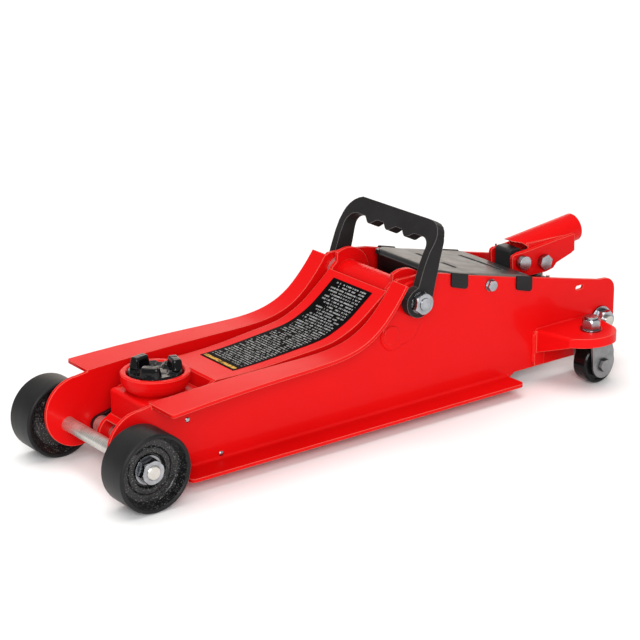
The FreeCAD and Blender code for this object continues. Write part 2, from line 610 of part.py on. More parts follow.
cf = caster_fork()
save("caster_fork_right", cf)
save("caster_fork_left", mirror(cf))
ax = fuse(cyl_y(4.0, CASTER_X, CASTER_R, KY - 19.0, KY + 13.0), hex_y(10.5, CASTER_X, CASTER_R, KY + 12.5, KY + 16.2, 5))
axn = hex_y(10.5, CASTER_X, CASTER_R, KY - 17.0, KY - 12.5, 5)
ax = fuse(ax, axn)
save("caster_bolt_right", ax)
save("caster_bolt_left", mirror(ax))


def caster_wheel():
    w2 = CASTER_W / 2
    pts = [(4.0 + CLR, -9.7), (6.5, -9.7), (6.5, -w2 + 1.0), (14.0, -w2 + 1.0), (15.2, -w2), (17.2, -w2), (18.3, -w2 + 1.2), (CASTER_R, -w2 + 2.4),
           (CASTER_R, w2 - 2.4), (18.3, w2 - 1.2), (17.2, w2), (15.2, w2), (14.0, w2 - 1.0), (6.5, w2 - 1.0), (6.5, 9.7), (4.0 + CLR, 9.7)]
    w = Part.makePolygon([V(r, y, 0) for r, y in pts + [pts[0]]])
    s = Part.Face(w).revolve(V(0, 0, 0), V(0, 1, 0), 360)
    s.translate(V(CASTER_X, KY, CASTER_R))
    return s


cw = caster_wheel()
save("caster_wheel_right", cw)
save("caster_wheel_left", mirror(cw))

# ------------------------------ hydraulic unit -----------------------------
blk = box(400, 470, -24, 24, 27, 80)
def bev(e):
    b = e.BoundBox
    return b.XLength > 60 or b.ZLength > 50
blk = try_fillet_each(blk, 4.0, bev)
lug = fuse(box(427.2, 443.0, -10, 10, 78, 101.7), box(427.2, 443, -10, 10, 95, 112.6))
lug = try_fillet_each(lug, 3.0, lambda e: e.BoundBox.ZMin > 112.0 and e.BoundBox.YLength > 15)
lug = lug.cut(poly([(437.5, 113.5), (444.5, 113.5), (444.5, 105.5)], "Y", 60, -30))
tail = fuse(box(468, 505, -13, 13, 33, 54), cyl_y(10.5, 503, 43.5, -13, 13))
boss = cyl_z(12.0, PLUNGER_X, 0, 78, 83.0)
blk = fuse(blk, lug, tail, boss)
blk = blk.cut(cyl_y(5.0, TIE[0], TIE[1], -60, 60))
blk = blk.cut(cyl_y(4.0, SOCKET_P[0], SOCKET_P[1], -60, 60))
blk = blk.cut(cyl_z(6.0 + CLR, PLUNGER_X, 0, 46, 120))
blk = fuse(blk, cyl_x(9.0, 468, 478, 0, 66)).cut(cyl_x(5.0 + CLR, 466.4, 480, 0, 66))
blk = blk.cut(cyl_x(18.0, 396, 404, 0, RAM_Z))
blk = blk.cut(cyl_z(5.0, 412, 15, 70, 90))
save("pump_block", blk)
brl = cyl_x(20.0, 322, 400, 0, RAM_Z).fuse(cyl_x(18.0, 400, 404, 0, RAM_Z)).cut(cyl_x(14.0 + CLR, 330, 399, 0, RAM_Z)).cut(cyl_x(16.0, 318, 330, 0, RAM_Z))
save("ram_cylinder", brl.removeSplitter())
gl = fuse(cyl_x(16.0, 322, 330, 0, RAM_Z), cyl_x(18.0, 317, 322, 0, RAM_Z)).cut(cyl_x(10.0 + CLR, 300, 340, 0, RAM_Z))
save("gland_nut", gl)
rod = fuse(cyl_x(10.0, 306, 372, 0, RAM_Z), cyl_x(14.0, 372, 384, 0, RAM_Z))
save("ram_rod", rod)
seal = cyl_x(14.0, 384, 388, 0, RAM_Z).cut(cyl_x(9.0, 380, 390, 0, RAM_Z))
save("ram_piston_seal", seal)
yoke = box(284, 312, -24, 24, 59, 85)
yoke = yoke.cut(box(280, 304, -15, 15, 50, 95))
slot = fuse(box(xr - 8.2, xr + 8.2, -30, 30, 67.5, 75.5), cyl_y(8.2, xr, 67.5, -30, 30), cyl_y(8.2, xr, 75.5, -30, 30))
yoke = yoke.cut(slot).cut(cyl_x(10.0, 306, 320, 0, RAM_Z))
yoke = yoke.cut(box(280, 286, -30, 30, 50, 60))
for s in (1, -1):
    yoke = yoke.fuse(cyl_y(3.0, 308.0, 62.0, 24 if s > 0 else -33, 33 if s > 0 else -24))
save("ram_yoke", yoke.removeSplitter())
an = fuse(cyl_y(3.0, 404.0, 62.0, -33, -24), cyl_y(3.0, 404.0, 62.0, 24, 33))
save("spring_anchor_pins", an)
spr = cyl_x(5.0, 313, 399, 29.0, 62.0).cut(cyl_x(3.6, 300, 410, 29.0, 62.0))
save("return_springs", both(spr))
plug = fuse(cyl_z(5.0, 412, 15, 74, 80), cyl_z(7.0, 412, 15, 80, 83))
save("filler_plug", plug)
pl = fuse(cyl_z(6.0, PLUNGER_X, 0, 48, 88.0), cyl_z(9.6, PLUNGER_X, 0, 88.0, 90.6))
save("pump_plunger", pl)
ps = cyl_z(9.0, PLUNGER_X, 0, 83.0, 88.0).cut(cyl_z(7.0, PLUNGER_X, 0, 80, 90))
save("plunger_spring", ps)
rv = fuse(cyl_x(5.0, 466.5, 486.5, 0, 66), cyl_x(7.5, 478.1, 480.6, 0, 66), cyl_z(1.8, 483.5, 0, 56.5, 75.5))
save("release_valve", rv)

# ------------------------------ handle socket ------------------------------
ta = math.radians(TUBE_ANGLE)
L = 78.0
BORE_L = 34.0             # full-round length that grips the handle bar
def tube_solid(r, l0, l1):
    c = Part.makeCylinder(r, l1 - l0, V(0, 0, 0), V(1, 0, 0))
    c.translate(V(l0, 0, 0))
    c.rotate(V(0, 0, 0), V(0, 1, 0), -TUBE_ANGLE)
    c.translate(V(TUBE_C[0], 0, TUBE_C[1]))
    return c
tb = tube_solid(TUBE_R, -L, 0)
tb = tb.cut(tube_solid(TUBE_BORE, -BORE_L - 1, 5)).cut(tube_solid(TUBE_BORE + 0.7, -L - 5, -BORE_L))
# slanted relief at the front end, clear of the pump lug and pins
tb = tb.cut(poly([(420, 112.5), (433.5, 118.6), (442.0, 116.6), (453.0, 107.0), (453.5, 90), (420, 90)], "Y", 60, -30))
# open slot along the underside, where the roller bracket sits
tb = tb.cut(box(430, 476, -10.9, 10.9, 80, 108))
yk = []
plate = [(424.6, 106.2), (425.6, 108.6), (428.5, 109.6), (440, 109.8), (479.0, 114.2), (479.8, 94.0), (474.8, 88.6), (466, 86.6), (440, 86.8),
         (431, 88.5), (425.6, 93.5)]
PY = TUBE_R - 0.2         # inner face of the cheek plates, let into the tube's side
pr = poly(plate, "Y", 16.0 - PY, PY)
# rear skirt: the plates run further back under the tube
skirt = poly([(478, 114.0), (500.0, 116.0), (500.5, 100.5), (496, 98.2), (478, 92.6)], "Y", 16.0 - PY, PY)
# welded web that follows the tube's side
web = box(446, 500, 9.0, PY + 0.1, 100.0, 116.0).cut(tube_solid(TUBE_R - 0.9, -L - 40, 40))
web = web.cut(poly([(440, 90), (520, 90), (520, 108), (440, 98)], "Y", 30, 0))
pr = fuse(fuse(pr, skirt), web)
so = tb.fuse(pr).fuse(mirror(pr)).removeSplitter()
for p, r in ((SOCKET_P, 4.0 + CLR), (ROLLER_P, 4.0)):
    so = so.cut(cyl_y(r, p[0], p[1], -40, 40))
save("handle_socket", so)
sp_pin = fuse(cyl_y(4.0, SOCKET_P[0], SOCKET_P[1], -20.0, 20.0), cyl_y(6.5, SOCKET_P[0], SOCKET_P[1], -22.5, -16.4))
save("socket_pin", sp_pin)
rp = fuse(cyl_y(4.0, ROLLER_P[0], ROLLER_P[1], -16.0, 20.5), hex_y(12.5, ROLLER_P[0], ROLLER_P[1], -21.6, -16.0, 15), cyl_y(6.4, ROLLER_P[0], ROLLER_P[1], 16.0, 18.5))
save("roller_bolt", rp)
ro = cyl_y(6.6, ROLLER_P[0], ROLLER_P[1], -9.0, 9.0).cut(cyl_y(4.0 + CLR, ROLLER_P[0], ROLLER_P[1], -40, 40))
save("pump_roller", ro)
save("socket_cotter", cyl_z(0.9, SOCKET_P[0], 18.2, SOCKET_P[1] + 4.0, SOCKET_P[1] + 9.0).fuse(cyl_z(0.9, SOCKET_P[0], 18.2, SOCKET_P[1] - 9.0, SOCKET_P[1] - 4.0)))

# ------------------------------ top cover ----------------------------------
def web_top(x):
    pts = [(288, 127.2), (308.8, 124.9), (345.8, 115.7), (397.8, 103.6), (500, 80.9)]
    for (x1, z1), (x2, z2) in zip(pts, pts[1:]):
        if x <= x2:
            return z1 + (z2 - z1) * (x - x1) / (x2 - x1)
    return pts[-1][1]


CT = 1.3
top_line = [(x, web_top(x)) for x in (311.5, 345.8, 397.8, 419.5)]
prof = top_line + [(x, z + CT) for x, z in reversed(top_line)]
cov = poly(prof, "Y", 2 * 49.3, -49.3)
# tabs over the plate edges
for xa_, xb_ in ((324.0, 343.0), (399.0, 417.5)):
    pts = [(xa_, web_top(xa_) + CT), (xb_, web_top(xb_) + CT), (xb_, web_top(xb_) - 13.0), (xa_, web_top(xa_) - 12.0)]
    t = poly(pts, "Y", 2.2, Y_OUT)
    t = fuse(t, poly([(xa_, web_top(xa_)), (xb_, web_top(xb_)), (xb_, web_top(xb_) + CT), (xa_, web_top(xa_) + CT)], "Y", 3.0, 48.7))
    cov = cov.fuse(t).fuse(mirror(t))
# cut-off front corners
for s_ in (1, -1):
    cov = cov.cut(poly([(305.0, s_ * 30.0), (311.5, s_ * 38.2), (325.5, s_ * 49.3), (325.5, s_ * 60.0), (305.0, s_ * 60.0)], "Z", 100, 60))
# front skirt between the plates
cov = cov.fuse(box(311.5, 314.0, -38.2, 38.2, 105.0, 124.6))
cov = cov.removeSplitter()
save("top_cover", cov)
cs = fuse(cyl_y(3.0, 369.5, 101.9, 42.0, 52.0), hex_y(9.0, 369.5, 101.9, 50.4, 53.8, 0), cyl_y(5.6, 369.5, 101.9, Y_OUT, 50.5))
save("cover_screws", both(cs))
cb_ = box(361, 379, 40.0, Y_IN, 95.5, 106.5).cut(cyl_y(3.0, 369.5, 101.9, 30, 60))
save("cover_screw_blocks", both(cb_))
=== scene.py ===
import bpy, bmesh, math, random
from mathutils import Vector, Matrix, noise


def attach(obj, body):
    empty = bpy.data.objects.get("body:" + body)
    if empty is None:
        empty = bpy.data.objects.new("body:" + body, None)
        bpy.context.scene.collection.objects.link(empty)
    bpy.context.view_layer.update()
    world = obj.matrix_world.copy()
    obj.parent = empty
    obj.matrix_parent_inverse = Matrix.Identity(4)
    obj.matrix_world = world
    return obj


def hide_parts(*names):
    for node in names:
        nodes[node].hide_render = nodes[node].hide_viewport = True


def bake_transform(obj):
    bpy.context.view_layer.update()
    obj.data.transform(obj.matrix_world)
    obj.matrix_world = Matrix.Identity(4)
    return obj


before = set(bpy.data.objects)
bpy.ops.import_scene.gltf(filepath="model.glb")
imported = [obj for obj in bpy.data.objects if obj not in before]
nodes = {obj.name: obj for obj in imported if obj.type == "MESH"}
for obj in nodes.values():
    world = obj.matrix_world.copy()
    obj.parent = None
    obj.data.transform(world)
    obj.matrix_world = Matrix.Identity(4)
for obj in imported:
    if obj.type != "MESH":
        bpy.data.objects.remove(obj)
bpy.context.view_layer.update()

X0 = 243.75


def R(x, y, z):
    """Layout millimetres (X = 0 on the front axle) to the row frame in metres."""
    return Vector(((x - X0) / 1000.0, y / 1000.0, z / 1000.0))


# ---------------------------------------------------------------------------
# camera, matched to the reference angle
# ---------------------------------------------------------------------------
cam_data = bpy.data.cameras.new("camera")
cam = bpy.data.objects.new("camera", cam_data)
bpy.context.scene.collection.objects.link(cam)
cam_data.sensor_width = 36.0
cam_data.lens = 121.097
cam_data.clip_start = 0.05
cam_data.clip_end = 60.0
_pos = Vector((-1.054179, -1.383559, 0.686805))
_tgt = Vector((-0.021322, 0.000983, 0.087220))
_back = (_pos - _tgt).normalized()
_right = Vector((0, 0, 1)).cross(_back).normalized()
_up = _back.cross(_right)
_roll = math.radians(-0.364)
_r2 = _right * math.cos(_roll) + _up * math.sin(_roll)
_u2 = -_right * math.sin(_roll) + _up * math.cos(_roll)
_m = Matrix((_r2, _u2, _back)).transposed().to_4x4()
_m.translation = _pos
cam.matrix_world = _m
bpy.context.scene.camera = cam
bpy.context.scene.view_settings.view_transform = "Standard"
bpy.context.scene.view_settings.look = "None"


# ---------------------------------------------------------------------------
# material tools
# ---------------------------------------------------------------------------
class M:
    def __init__(self, name):
        self.mat = bpy.data.materials.new(name)
        self.mat.use_nodes = True
        self.n = self.mat.node_tree.nodes
        self.l = self.mat.node_tree.links
        self.n.clear()
        self.out = self.n.new("ShaderNodeOutputMaterial")
        self.b = self.n.new("ShaderNodeBsdfPrincipled")
        self.l.new(self.b.outputs["BSDF"], self.out.inputs["Surface"])
        self.tc = self.n.new("ShaderNodeTexCoord")
        self.x = 0

    def node(self, kind, **props):
        q = self.n.new(kind)
        for k, v in props.items():
            setattr(q, k, v)
        return q

    def link(self, a, b):
        self.l.new(a, b)

    def coords(self, scale=(1, 1, 1), rot=(0, 0, 0), uv=False):
        m = self.node("ShaderNodeMapping")
        m.inputs["Scale"].default_value = scale
        m.inputs["Rotation"].default_value = rot
        self.link(self.tc.outputs["UV" if uv else "Object"], m.inputs["Vector"])
        return m.outputs["Vector"]

    def noise(self, scale, detail=3.0, rough=0.55, vec=None, dist=0.0):
        q = self.node("ShaderNodeTexNoise")
        q.inputs["Scale"].default_value = scale
        q.inputs["Detail"].default_value = detail
        q.inputs["Roughness"].default_value = rough
        q.inputs["Distortion"].default_value = dist
        self.link(vec if vec is not None else self.tc.outputs["Object"], q.inputs["Vector"])
        return q.outputs["Fac"]

    def math(self, op, a, b=None, clamp=False):
        q = self.node("ShaderNodeMath", operation=op, use_clamp=clamp)
        for i, v in enumerate((a, b)):
            if v is None:
                continue
            if isinstance(v, (int, float)):
                q.inputs[i].default_value = v
            else:
                self.link(v, q.inputs[i])
        return q.outputs[0]

    def ramp(self, fac, lo, hi, a=0.0, b=1.0):
        q = self.node("ShaderNodeMapRange")
        q.clamp = True
        self.link(fac, q.inputs["Value"])
        q.inputs["From Min"].default_value = lo
        q.inputs["From Max"].default_value = hi
        q.inputs["To Min"].default_value = a
        q.inputs["To Max"].default_value = b
        return q.outputs["Result"]

    def mix(self, fac, a, b):
        q = self.node("ShaderNodeMix", data_type="RGBA")
        if isinstance(fac, (int, float)):
            q.inputs["Factor"].default_value = fac
        else:
            self.link(fac, q.inputs["Factor"])
        for key, v in (("A", a), ("B", b)):
            sock = [s for s in q.inputs if s.name == key and s.type == "RGBA"][0]
            if isinstance(v, (tuple, list)):
                sock.default_value = (v[0], v[1], v[2], 1.0)
            else:
                self.link(v, sock)
        return [s for s in q.outputs if s.type == "RGBA"][0]

    def bevel(self, radius, samples=4):
        q = self.node("ShaderNodeBevel", samples=samples)
        q.inputs["Radius"].default_value = radius
        return q.outputs["Normal"]

    # mask of the edges, where the bevel normal turns away from the true normal; the materials below mix it into base
    # colour as a painted highlight along edges
    def edge(self, bevel_normal, gain=3.0):
        g = self.node("ShaderNodeNewGeometry")
        d = self.node("ShaderNodeVectorMath", operation="DOT_PRODUCT")
        self.link(bevel_normal, d.inputs[0])
        self.link(g.outputs["Normal"], d.inputs[1])
        one = self.math("SUBTRACT", 1.0, d.outputs["Value"], clamp=True)
        return self.math("MULTIPLY", one, gain, clamp=True)

    def bump(self, height, strength, distance, normal=None):
        q = self.node("ShaderNodeBump")
        q.inputs["Strength"].default_value = strength
        q.inputs["Distance"].default_value = distance
        self.link(height, q.inputs["Height"])
        if normal is not None:
            self.link(normal, q.inputs["Normal"])
        return q.outputs["Normal"]

    def set(self, **kw):
        for k, v in kw.items():
            s = self.b.inputs[k.replace("_", " ")]
            if isinstance(v, (int, float)):
                s.default_value = v
            elif isinstance(v, (tuple, list)):
                s.default_value = (v[0], v[1], v[2], 1.0) if len(v) == 3 else v
            else:
                self.link(v, s)


def paint_red():
    m = M("red_powder_coat")
    bn = m.bevel(0.0011, 6)
    e = m.edge(bn, 3.4)
    big = m.noise(7.0, 3.0)
    col = m.mix(m.ramp(big, 0.3, 0.7), (0.64, 0.0030, 0.0034), (0.70, 0.0044, 0.0048))
    soft = m.noise(60.0, 3.0)
    col = m.mix(m.ramp(soft, 0.55, 0.85, 0.0, 0.10), col, (0.60, 0.0022, 0.0040))
    # painted highlight: a light salmon colour along the edges stands in for the glints of the gloss paint
    col = m.mix(m.math("MULTIPLY", e, 0.62), col, (0.95, 0.34, 0.25))
    peel = m.noise(300.0, 1.0, 0.3)
    n1 = m.bump(peel, 0.05, 0.00018, bn)
    rough = m.ramp(m.noise(30.0, 3.0), 0.3, 0.7, 0.30, 0.38)
    m.set(Base_Color=col, Roughness=rough, Normal=n1, Specular_IOR_Level=0.05, Coat_Weight=0.13, Coat_Roughness=0.07, Coat_IOR=1.4)
    m.link(n1, m.b.inputs["Coat Normal"])
    return m.mat


def cast_black(name, c0, c1, rough=(0.38, 0.52), speck=True, coat=0.0, lump=0.0, edge=0.35, spec=0.22):
    m = M(name)
    bn = m.bevel(0.0006)
    e = m.edge(bn, 2.0)
    big = m.noise(30.0, 4.0)
    col = m.mix(m.ramp(big, 0.35, 0.65), c0, c1)
    v = m.node("ShaderNodeTexVoronoi", feature="SMOOTH_F1")
    v.inputs["Scale"].default_value = 620.0
    v.inputs["Smoothness"].default_value = 0.6
    m.link(m.tc.outputs["Object"], v.inputs["Vector"])
    pits = m.ramp(v.outputs["Distance"], 0.25, 0.75)
    sand = m.noise(900.0, 3.0, 0.6)
    n1 = m.bump(sand, 0.35 if speck else 0.10, 0.00016, bn)
    if lump:
        n1 = m.bump(m.noise(170.0, 2.0, 0.5), lump, 0.0011, n1)
    if speck:
        n1 = m.bump(pits, 0.25, 0.0002, n1)
        # painted glints: light grey specks in the base colour stand in for highlights on the rough cast face;
        # near-black specks come from the same noise where it is low
        glint = m.noise(880.0, 2.0, 0.55)
        col = m.mix(m.ramp(glint, 0.59, 0.67, 0.0, 0.70), col, (0.20, 0.195, 0.188))
        col = m.mix(m.ramp(glint, 0.40, 0.30, 0.0, 0.7), col, (0.001, 0.001, 0.001))
    # painted highlight: lighter grey along the edges, its strength given by edge
    col = m.mix(m.math("MULTIPLY", e, edge), col, (0.10, 0.10, 0.105))
    m.set(Base_Color=col, Roughness=m.ramp(big, 0.3, 0.7, rough[0], rough[1]), Normal=n1, Coat_Weight=coat, Coat_Roughness=0.07, Specular_IOR_Level=spec)
    if coat:
        m.link(n1, m.b.inputs["Coat Normal"])
    return m.mat


def wheel_tread():
    m = M("wheel_tread")
    bn = m.bevel(0.0005)
    e = m.edge(bn, 2.0)
    ring = m.noise(24.0, 3.0, vec=m.coords((1, 90, 1)))
    soft = m.noise(60.0, 4.0)
    col = m.mix(m.ramp(soft, 0.3, 0.7), (0.007, 0.007, 0.0075), (0.012, 0.0118, 0.012))
    # painted highlight: lighter grey along the tread's edges
    col = m.mix(m.math("MULTIPLY", e, 0.4), col, (0.09, 0.09, 0.093))
    n1 = m.bump(ring, 0.10, 0.00012, bn)
    n1 = m.bump(m.noise(1100.0, 2.0), 0.08, 0.00008, n1)
    m.set(Base_Color=col, Roughness=m.ramp(ring, 0.3, 0.7, 0.38, 0.50), Normal=n1, Specular_IOR_Level=0.20)
    return m.mat


def charcoal():
    m = M("charcoal_powder_coat")
    bn = m.bevel(0.0009, 6)
    e = m.edge(bn, 4.2)
    big = m.noise(26.0, 3.0)
    tex = m.noise(1250.0, 2.5, 0.5)
    col = m.mix(m.ramp(big, 0.3, 0.7), (0.014, 0.0130, 0.0132), (0.022, 0.0205, 0.0208))
    col = m.mix(m.ramp(tex, 0.58, 0.78, 0.0, 0.30), col, (0.055, 0.055, 0.055))
    # painted highlight: light grey along the handle's edges
    col = m.mix(m.math("MULTIPLY", e, 0.60), col, (0.33, 0.33, 0.325))
    n1 = m.bump(tex, 0.22, 0.00012, bn)
    # painted highlight: thin light streaks along the legs, from a stretched noise cut at a threshold, stand in for
    # glints on the powder coat
    streak_glint = m.noise(240.0, 3.0, 0.6, vec=m.coords((1.0, 1.0, 0.28)))
    col = m.mix(m.math("MULTIPLY", m.ramp(streak_glint, 0.70, 0.76, 0.0, 0.35), 1.0), col, (0.20, 0.20, 0.20))
    m.set(Base_Color=col, Roughness=m.ramp(big, 0.3, 0.7, 0.44, 0.54), Normal=n1, Specular_IOR_Level=0.08)
    return m.mat


def black_plastic(name, c0, c1, rough, coat=0.0, grain=0.15, spec=0.25):
    m = M(name)
    bn = m.bevel(0.0005)
    e = m.edge(bn, 2.0)
    big = m.noise(18.0, 3.0)
    tex = m.noise(1500.0, 2.0, 0.45)
    col = m.mix(m.ramp(big, 0.3, 0.7), c0, c1)
    # painted highlight: lighter grey along the edges
    col = m.mix(m.math("MULTIPLY", e, 0.35), col, (0.13, 0.13, 0.135))
    n1 = m.bump(tex, grain, 0.00008, bn)
    m.set(Base_Color=col, Roughness=m.ramp(m.noise(55.0, 3.0), 0.3, 0.7, rough[0], rough[1]), Normal=n1, Coat_Weight=coat, Coat_Roughness=0.06, Specular_IOR_Level=spec)
    return m.mat


def zinc(name="zinc_plate", base=(0.43, 0.445, 0.47), warm=(0.28, 0.29, 0.305), rough=(0.16, 0.26)):
    m = M(name)
    bn = m.bevel(0.0004)
    e = m.edge(bn, 2.0)
    big = m.noise(120.0, 4.0)
    col = m.mix(m.ramp(big, 0.35, 0.7), base, warm)
    # painted highlight: near-white colour along the edges of the metal
    col = m.mix(m.math("MULTIPLY", e, 0.5), col, (0.80, 0.82, 0.84))
    # painted shade: ambient occlusion darkens the base colour in crevices and along contact lines
    painted_crevice_shade = m.node("ShaderNodeAmbientOcclusion")
    painted_crevice_shade.samples = 8
    painted_crevice_shade.inputs["Distance"].default_value = 0.0035
    col = m.mix(m.ramp(painted_crevice_shade.outputs["AO"], 0.35, 0.92, 0.85, 0.0), col, (0.035, 0.036, 0.038))
    fine = m.noise(1300.0, 3.0)
    n1 = m.bump(fine, 0.10, 0.00005, bn)
    m.set(Base_Color=col, Metallic=1.0, Roughness=m.ramp(big, 0.3, 0.7, rough[0], rough[1]), Normal=n1)
    return m.mat


def turned_steel(name, along, base=(0.66, 0.65, 0.61), dark=(0.44, 0.42, 0.38), rough=(0.22, 0.38)):
    """Lathe marks: fine rings across the axis."""
    m = M(name)
    bn = m.bevel(0.0004)
    sc = {"X": (1, 0.02, 0.02), "Y": (0.02, 1, 0.02), "Z": (0.02, 0.02, 1)}[along]
    rings = m.noise(1500.0, 3.0, 0.6, vec=m.coords(sc))
    wide = m.noise(70.0, 4.0)
    col = m.mix(m.ramp(wide, 0.3, 0.75), base, dark)
    n1 = m.bump(rings, 0.16, 0.00006, bn)
    m.set(Base_Color=col, Metallic=0.82, Roughness=m.ramp(rings, 0.3, 0.7, rough[0], rough[1]), Normal=n1)
    return m.mat


def decal_mat():
    """Film with rows of plain bars (no letters) and an amber strip, on the piece's own coordinates: u along the arm, v across, in millimetres."""
    m = M("decal_film")
    sep = m.node("ShaderNodeSeparateXYZ")
    m.link(m.tc.outputs["UV"], sep.inputs[0])
    u = m.math("MULTIPLY", sep.outputs["X"], 200.0)
    v = m.math("MULTIPLY", sep.outputs["Y"], 200.0)
    pitch = 3.05
    row = m.math("FLOOR", m.math("DIVIDE", u, pitch))
    fr = m.math("FRACT", m.math("DIVIDE", u, pitch))
    in_row = m.math("MULTIPLY", m.math("GREATER_THAN", fr, 0.28), m.math("LESS_THAN", fr, 0.74))
    # word-length blocks, each row shifted by its own amount
    wn = m.node("ShaderNodeTexWhiteNoise", noise_dimensions="1D")
    m.link(row, wn.inputs["W"])
    shift = m.math("MULTIPLY", wn.outputs["Value"], 40.0)
    cell_f = m.math("DIVIDE", m.math("ADD", v, shift), 1.12)
    cell = m.math("FLOOR", cell_f)
    comb = m.node("ShaderNodeCombineXYZ")
    m.link(row, comb.inputs[0])
    m.link(cell, comb.inputs[1])
    wn2 = m.node("ShaderNodeTexWhiteNoise", noise_dimensions="2D")
    m.link(comb.outputs[0], wn2.inputs["Vector"])
    on = m.math("GREATER_THAN", wn2.outputs["Value"], 0.30)
    gap = m.math("LESS_THAN", m.math("FRACT", cell_f), 0.68)
    # ragged far ends, and a solid left margin
    wn3 = m.node("ShaderNodeTexWhiteNoise", noise_dimensions="1D")
    m.link(m.math("ADD", row, 37.0), wn3.inputs["W"])
    group = m.math("FLOOR", m.math("DIVIDE", row, 4.0))
    wn4 = m.node("ShaderNodeTexWhiteNoise", noise_dimensions="1D")
    m.link(group, wn4.inputs["W"])
    rag = m.math("ADD", m.math("MULTIPLY", m.math("POWER", wn3.outputs["Value"], 4.0), 12.0), m.math("MULTIPLY", wn4.outputs["Value"], 1.5))
    lim = m.math("SUBTRACT", 22.0, rag)
    inside = m.math("MULTIPLY", m.math("LESS_THAN", v, lim), m.math("GREATER_THAN", v, -22.0))
    ends = m.math("MULTIPLY", m.math("GREATER_THAN", u, 8.5), m.math("LESS_THAN", u, 150.0))
    ink = m.math("MULTIPLY", m.math("MULTIPLY", in_row, on), m.math("MULTIPLY", gap, m.math("MULTIPLY", inside, ends)))
    level = m.ramp(wn2.outputs["Value"], 0.2, 1.0, 0.30, 0.95)
    ink = m.math("MULTIPLY", ink, level)
    stripe = m.math("MULTIPLY", m.math("GREATER_THAN", u, 2.0), m.math("LESS_THAN", u, 5.6))
    stripe = m.math("MULTIPLY", stripe, m.math("LESS_THAN", m.math("ABSOLUTE", v), 22.0))
    notch = m.math("GREATER_THAN", m.math("ABSOLUTE", m.math("SUBTRACT", v, -2.0)), 2.4)
    stripe = m.math("MULTIPLY", stripe, m.math("ADD", m.math("MULTIPLY", notch, 0.55), 0.45))
    film = m.mix(m.ramp(m.noise(40.0, 3.0), 0.3, 0.7), (0.0012, 0.0012, 0.0014), (0.0028, 0.0028, 0.003))
    col = m.mix(ink, film, (0.50, 0.515, 0.51))
    col = m.mix(m.math("MULTIPLY", stripe, m.ramp(m.noise(420.0, 1.0, 0.4, vec=m.tc.outputs["Object"]), 0.42, 0.50, 0.25, 1.0)), col, (0.62, 0.34, 0.07))
    n1 = m.bump(m.noise(900.0, 2.0), 0.05, 0.00005)
    m.set(Base_Color=col, Roughness=m.ramp(m.noise(30.0, 3.0), 0.3, 0.7, 0.50, 0.62), Normal=n1, Specular_IOR_Level=0.03)
    return m.mat


MAT = {
    "red": paint_red(),
    "wheel_face": cast_black("cast_wheel_face", (0.0035, 0.0035, 0.004), (0.008, 0.008, 0.0085), rough=(0.28, 0.40), coat=0.38, lump=0.35),
    "tread": wheel_tread(),
    "saddle": cast_black("gloss_cast_saddle", (0.0012, 0.0012, 0.0014), (0.0028, 0.0028, 0.0031), rough=(0.12, 0.18), speck=False, coat=0.40, lump=0.16, edge=0.05, spec=0.05),
    "handle": charcoal(),
    "link": black_plastic("gloss_black_paint", (0.004, 0.004, 0.0045), (0.008, 0.008, 0.0085), (0.22, 0.32), coat=0.12, grain=0.05),
    "cover": black_plastic("moulded_cover", (0.012, 0.012, 0.013), (0.019, 0.019, 0.020), (0.30, 0.40), coat=0.0, grain=0.12, spec=0.42),
    # painted shade: the same moulded cover plastic in a darker copy, for the vertical front skirt and side tabs, stands
    # in for their shade beside the lighter top
    "cover_dark": black_plastic("moulded_cover_side", (0.003, 0.003, 0.0035), (0.007, 0.007, 0.0075), (0.40, 0.50), grain=0.10),
    "block": black_plastic("black_block_paint", (0.012, 0.012, 0.013), (0.020, 0.020, 0.021), (0.35, 0.48), grain=0.12),
    "zinc": zinc(),
    "zinc_dull": zinc("dull_zinc_plate", (0.27, 0.275, 0.28), (0.20, 0.20, 0.205), (0.30, 0.42)),
    "axle_y": turned_steel("turned_steel_y", "Y"),
    "axle_x": turned_steel("turned_steel_x", "X"),
    "axle_z": turned_steel("turned_steel_z", "Z"),
    "chrome": turned_steel("ground_chrome", "X", (0.85, 0.85, 0.86), (0.78, 0.78, 0.79), (0.06, 0.12)),
    "caster": black_plastic("gloss_caster_wheel", (0.003, 0.003, 0.0034), (0.006, 0.006, 0.0064), (0.14, 0.22), coat=0.08, grain=0.04, spec=0.12),
    "seal": black_plastic("seal_rubber", (0.012, 0.012, 0.012), (0.018, 0.018, 0.018), (0.6, 0.7), grain=0.2),
    "spring": turned_steel("oiled_spring_steel", "X", (0.36, 0.36, 0.37), (0.22, 0.22, 0.23), (0.25, 0.4)),
    "decal": decal_mat(),
}

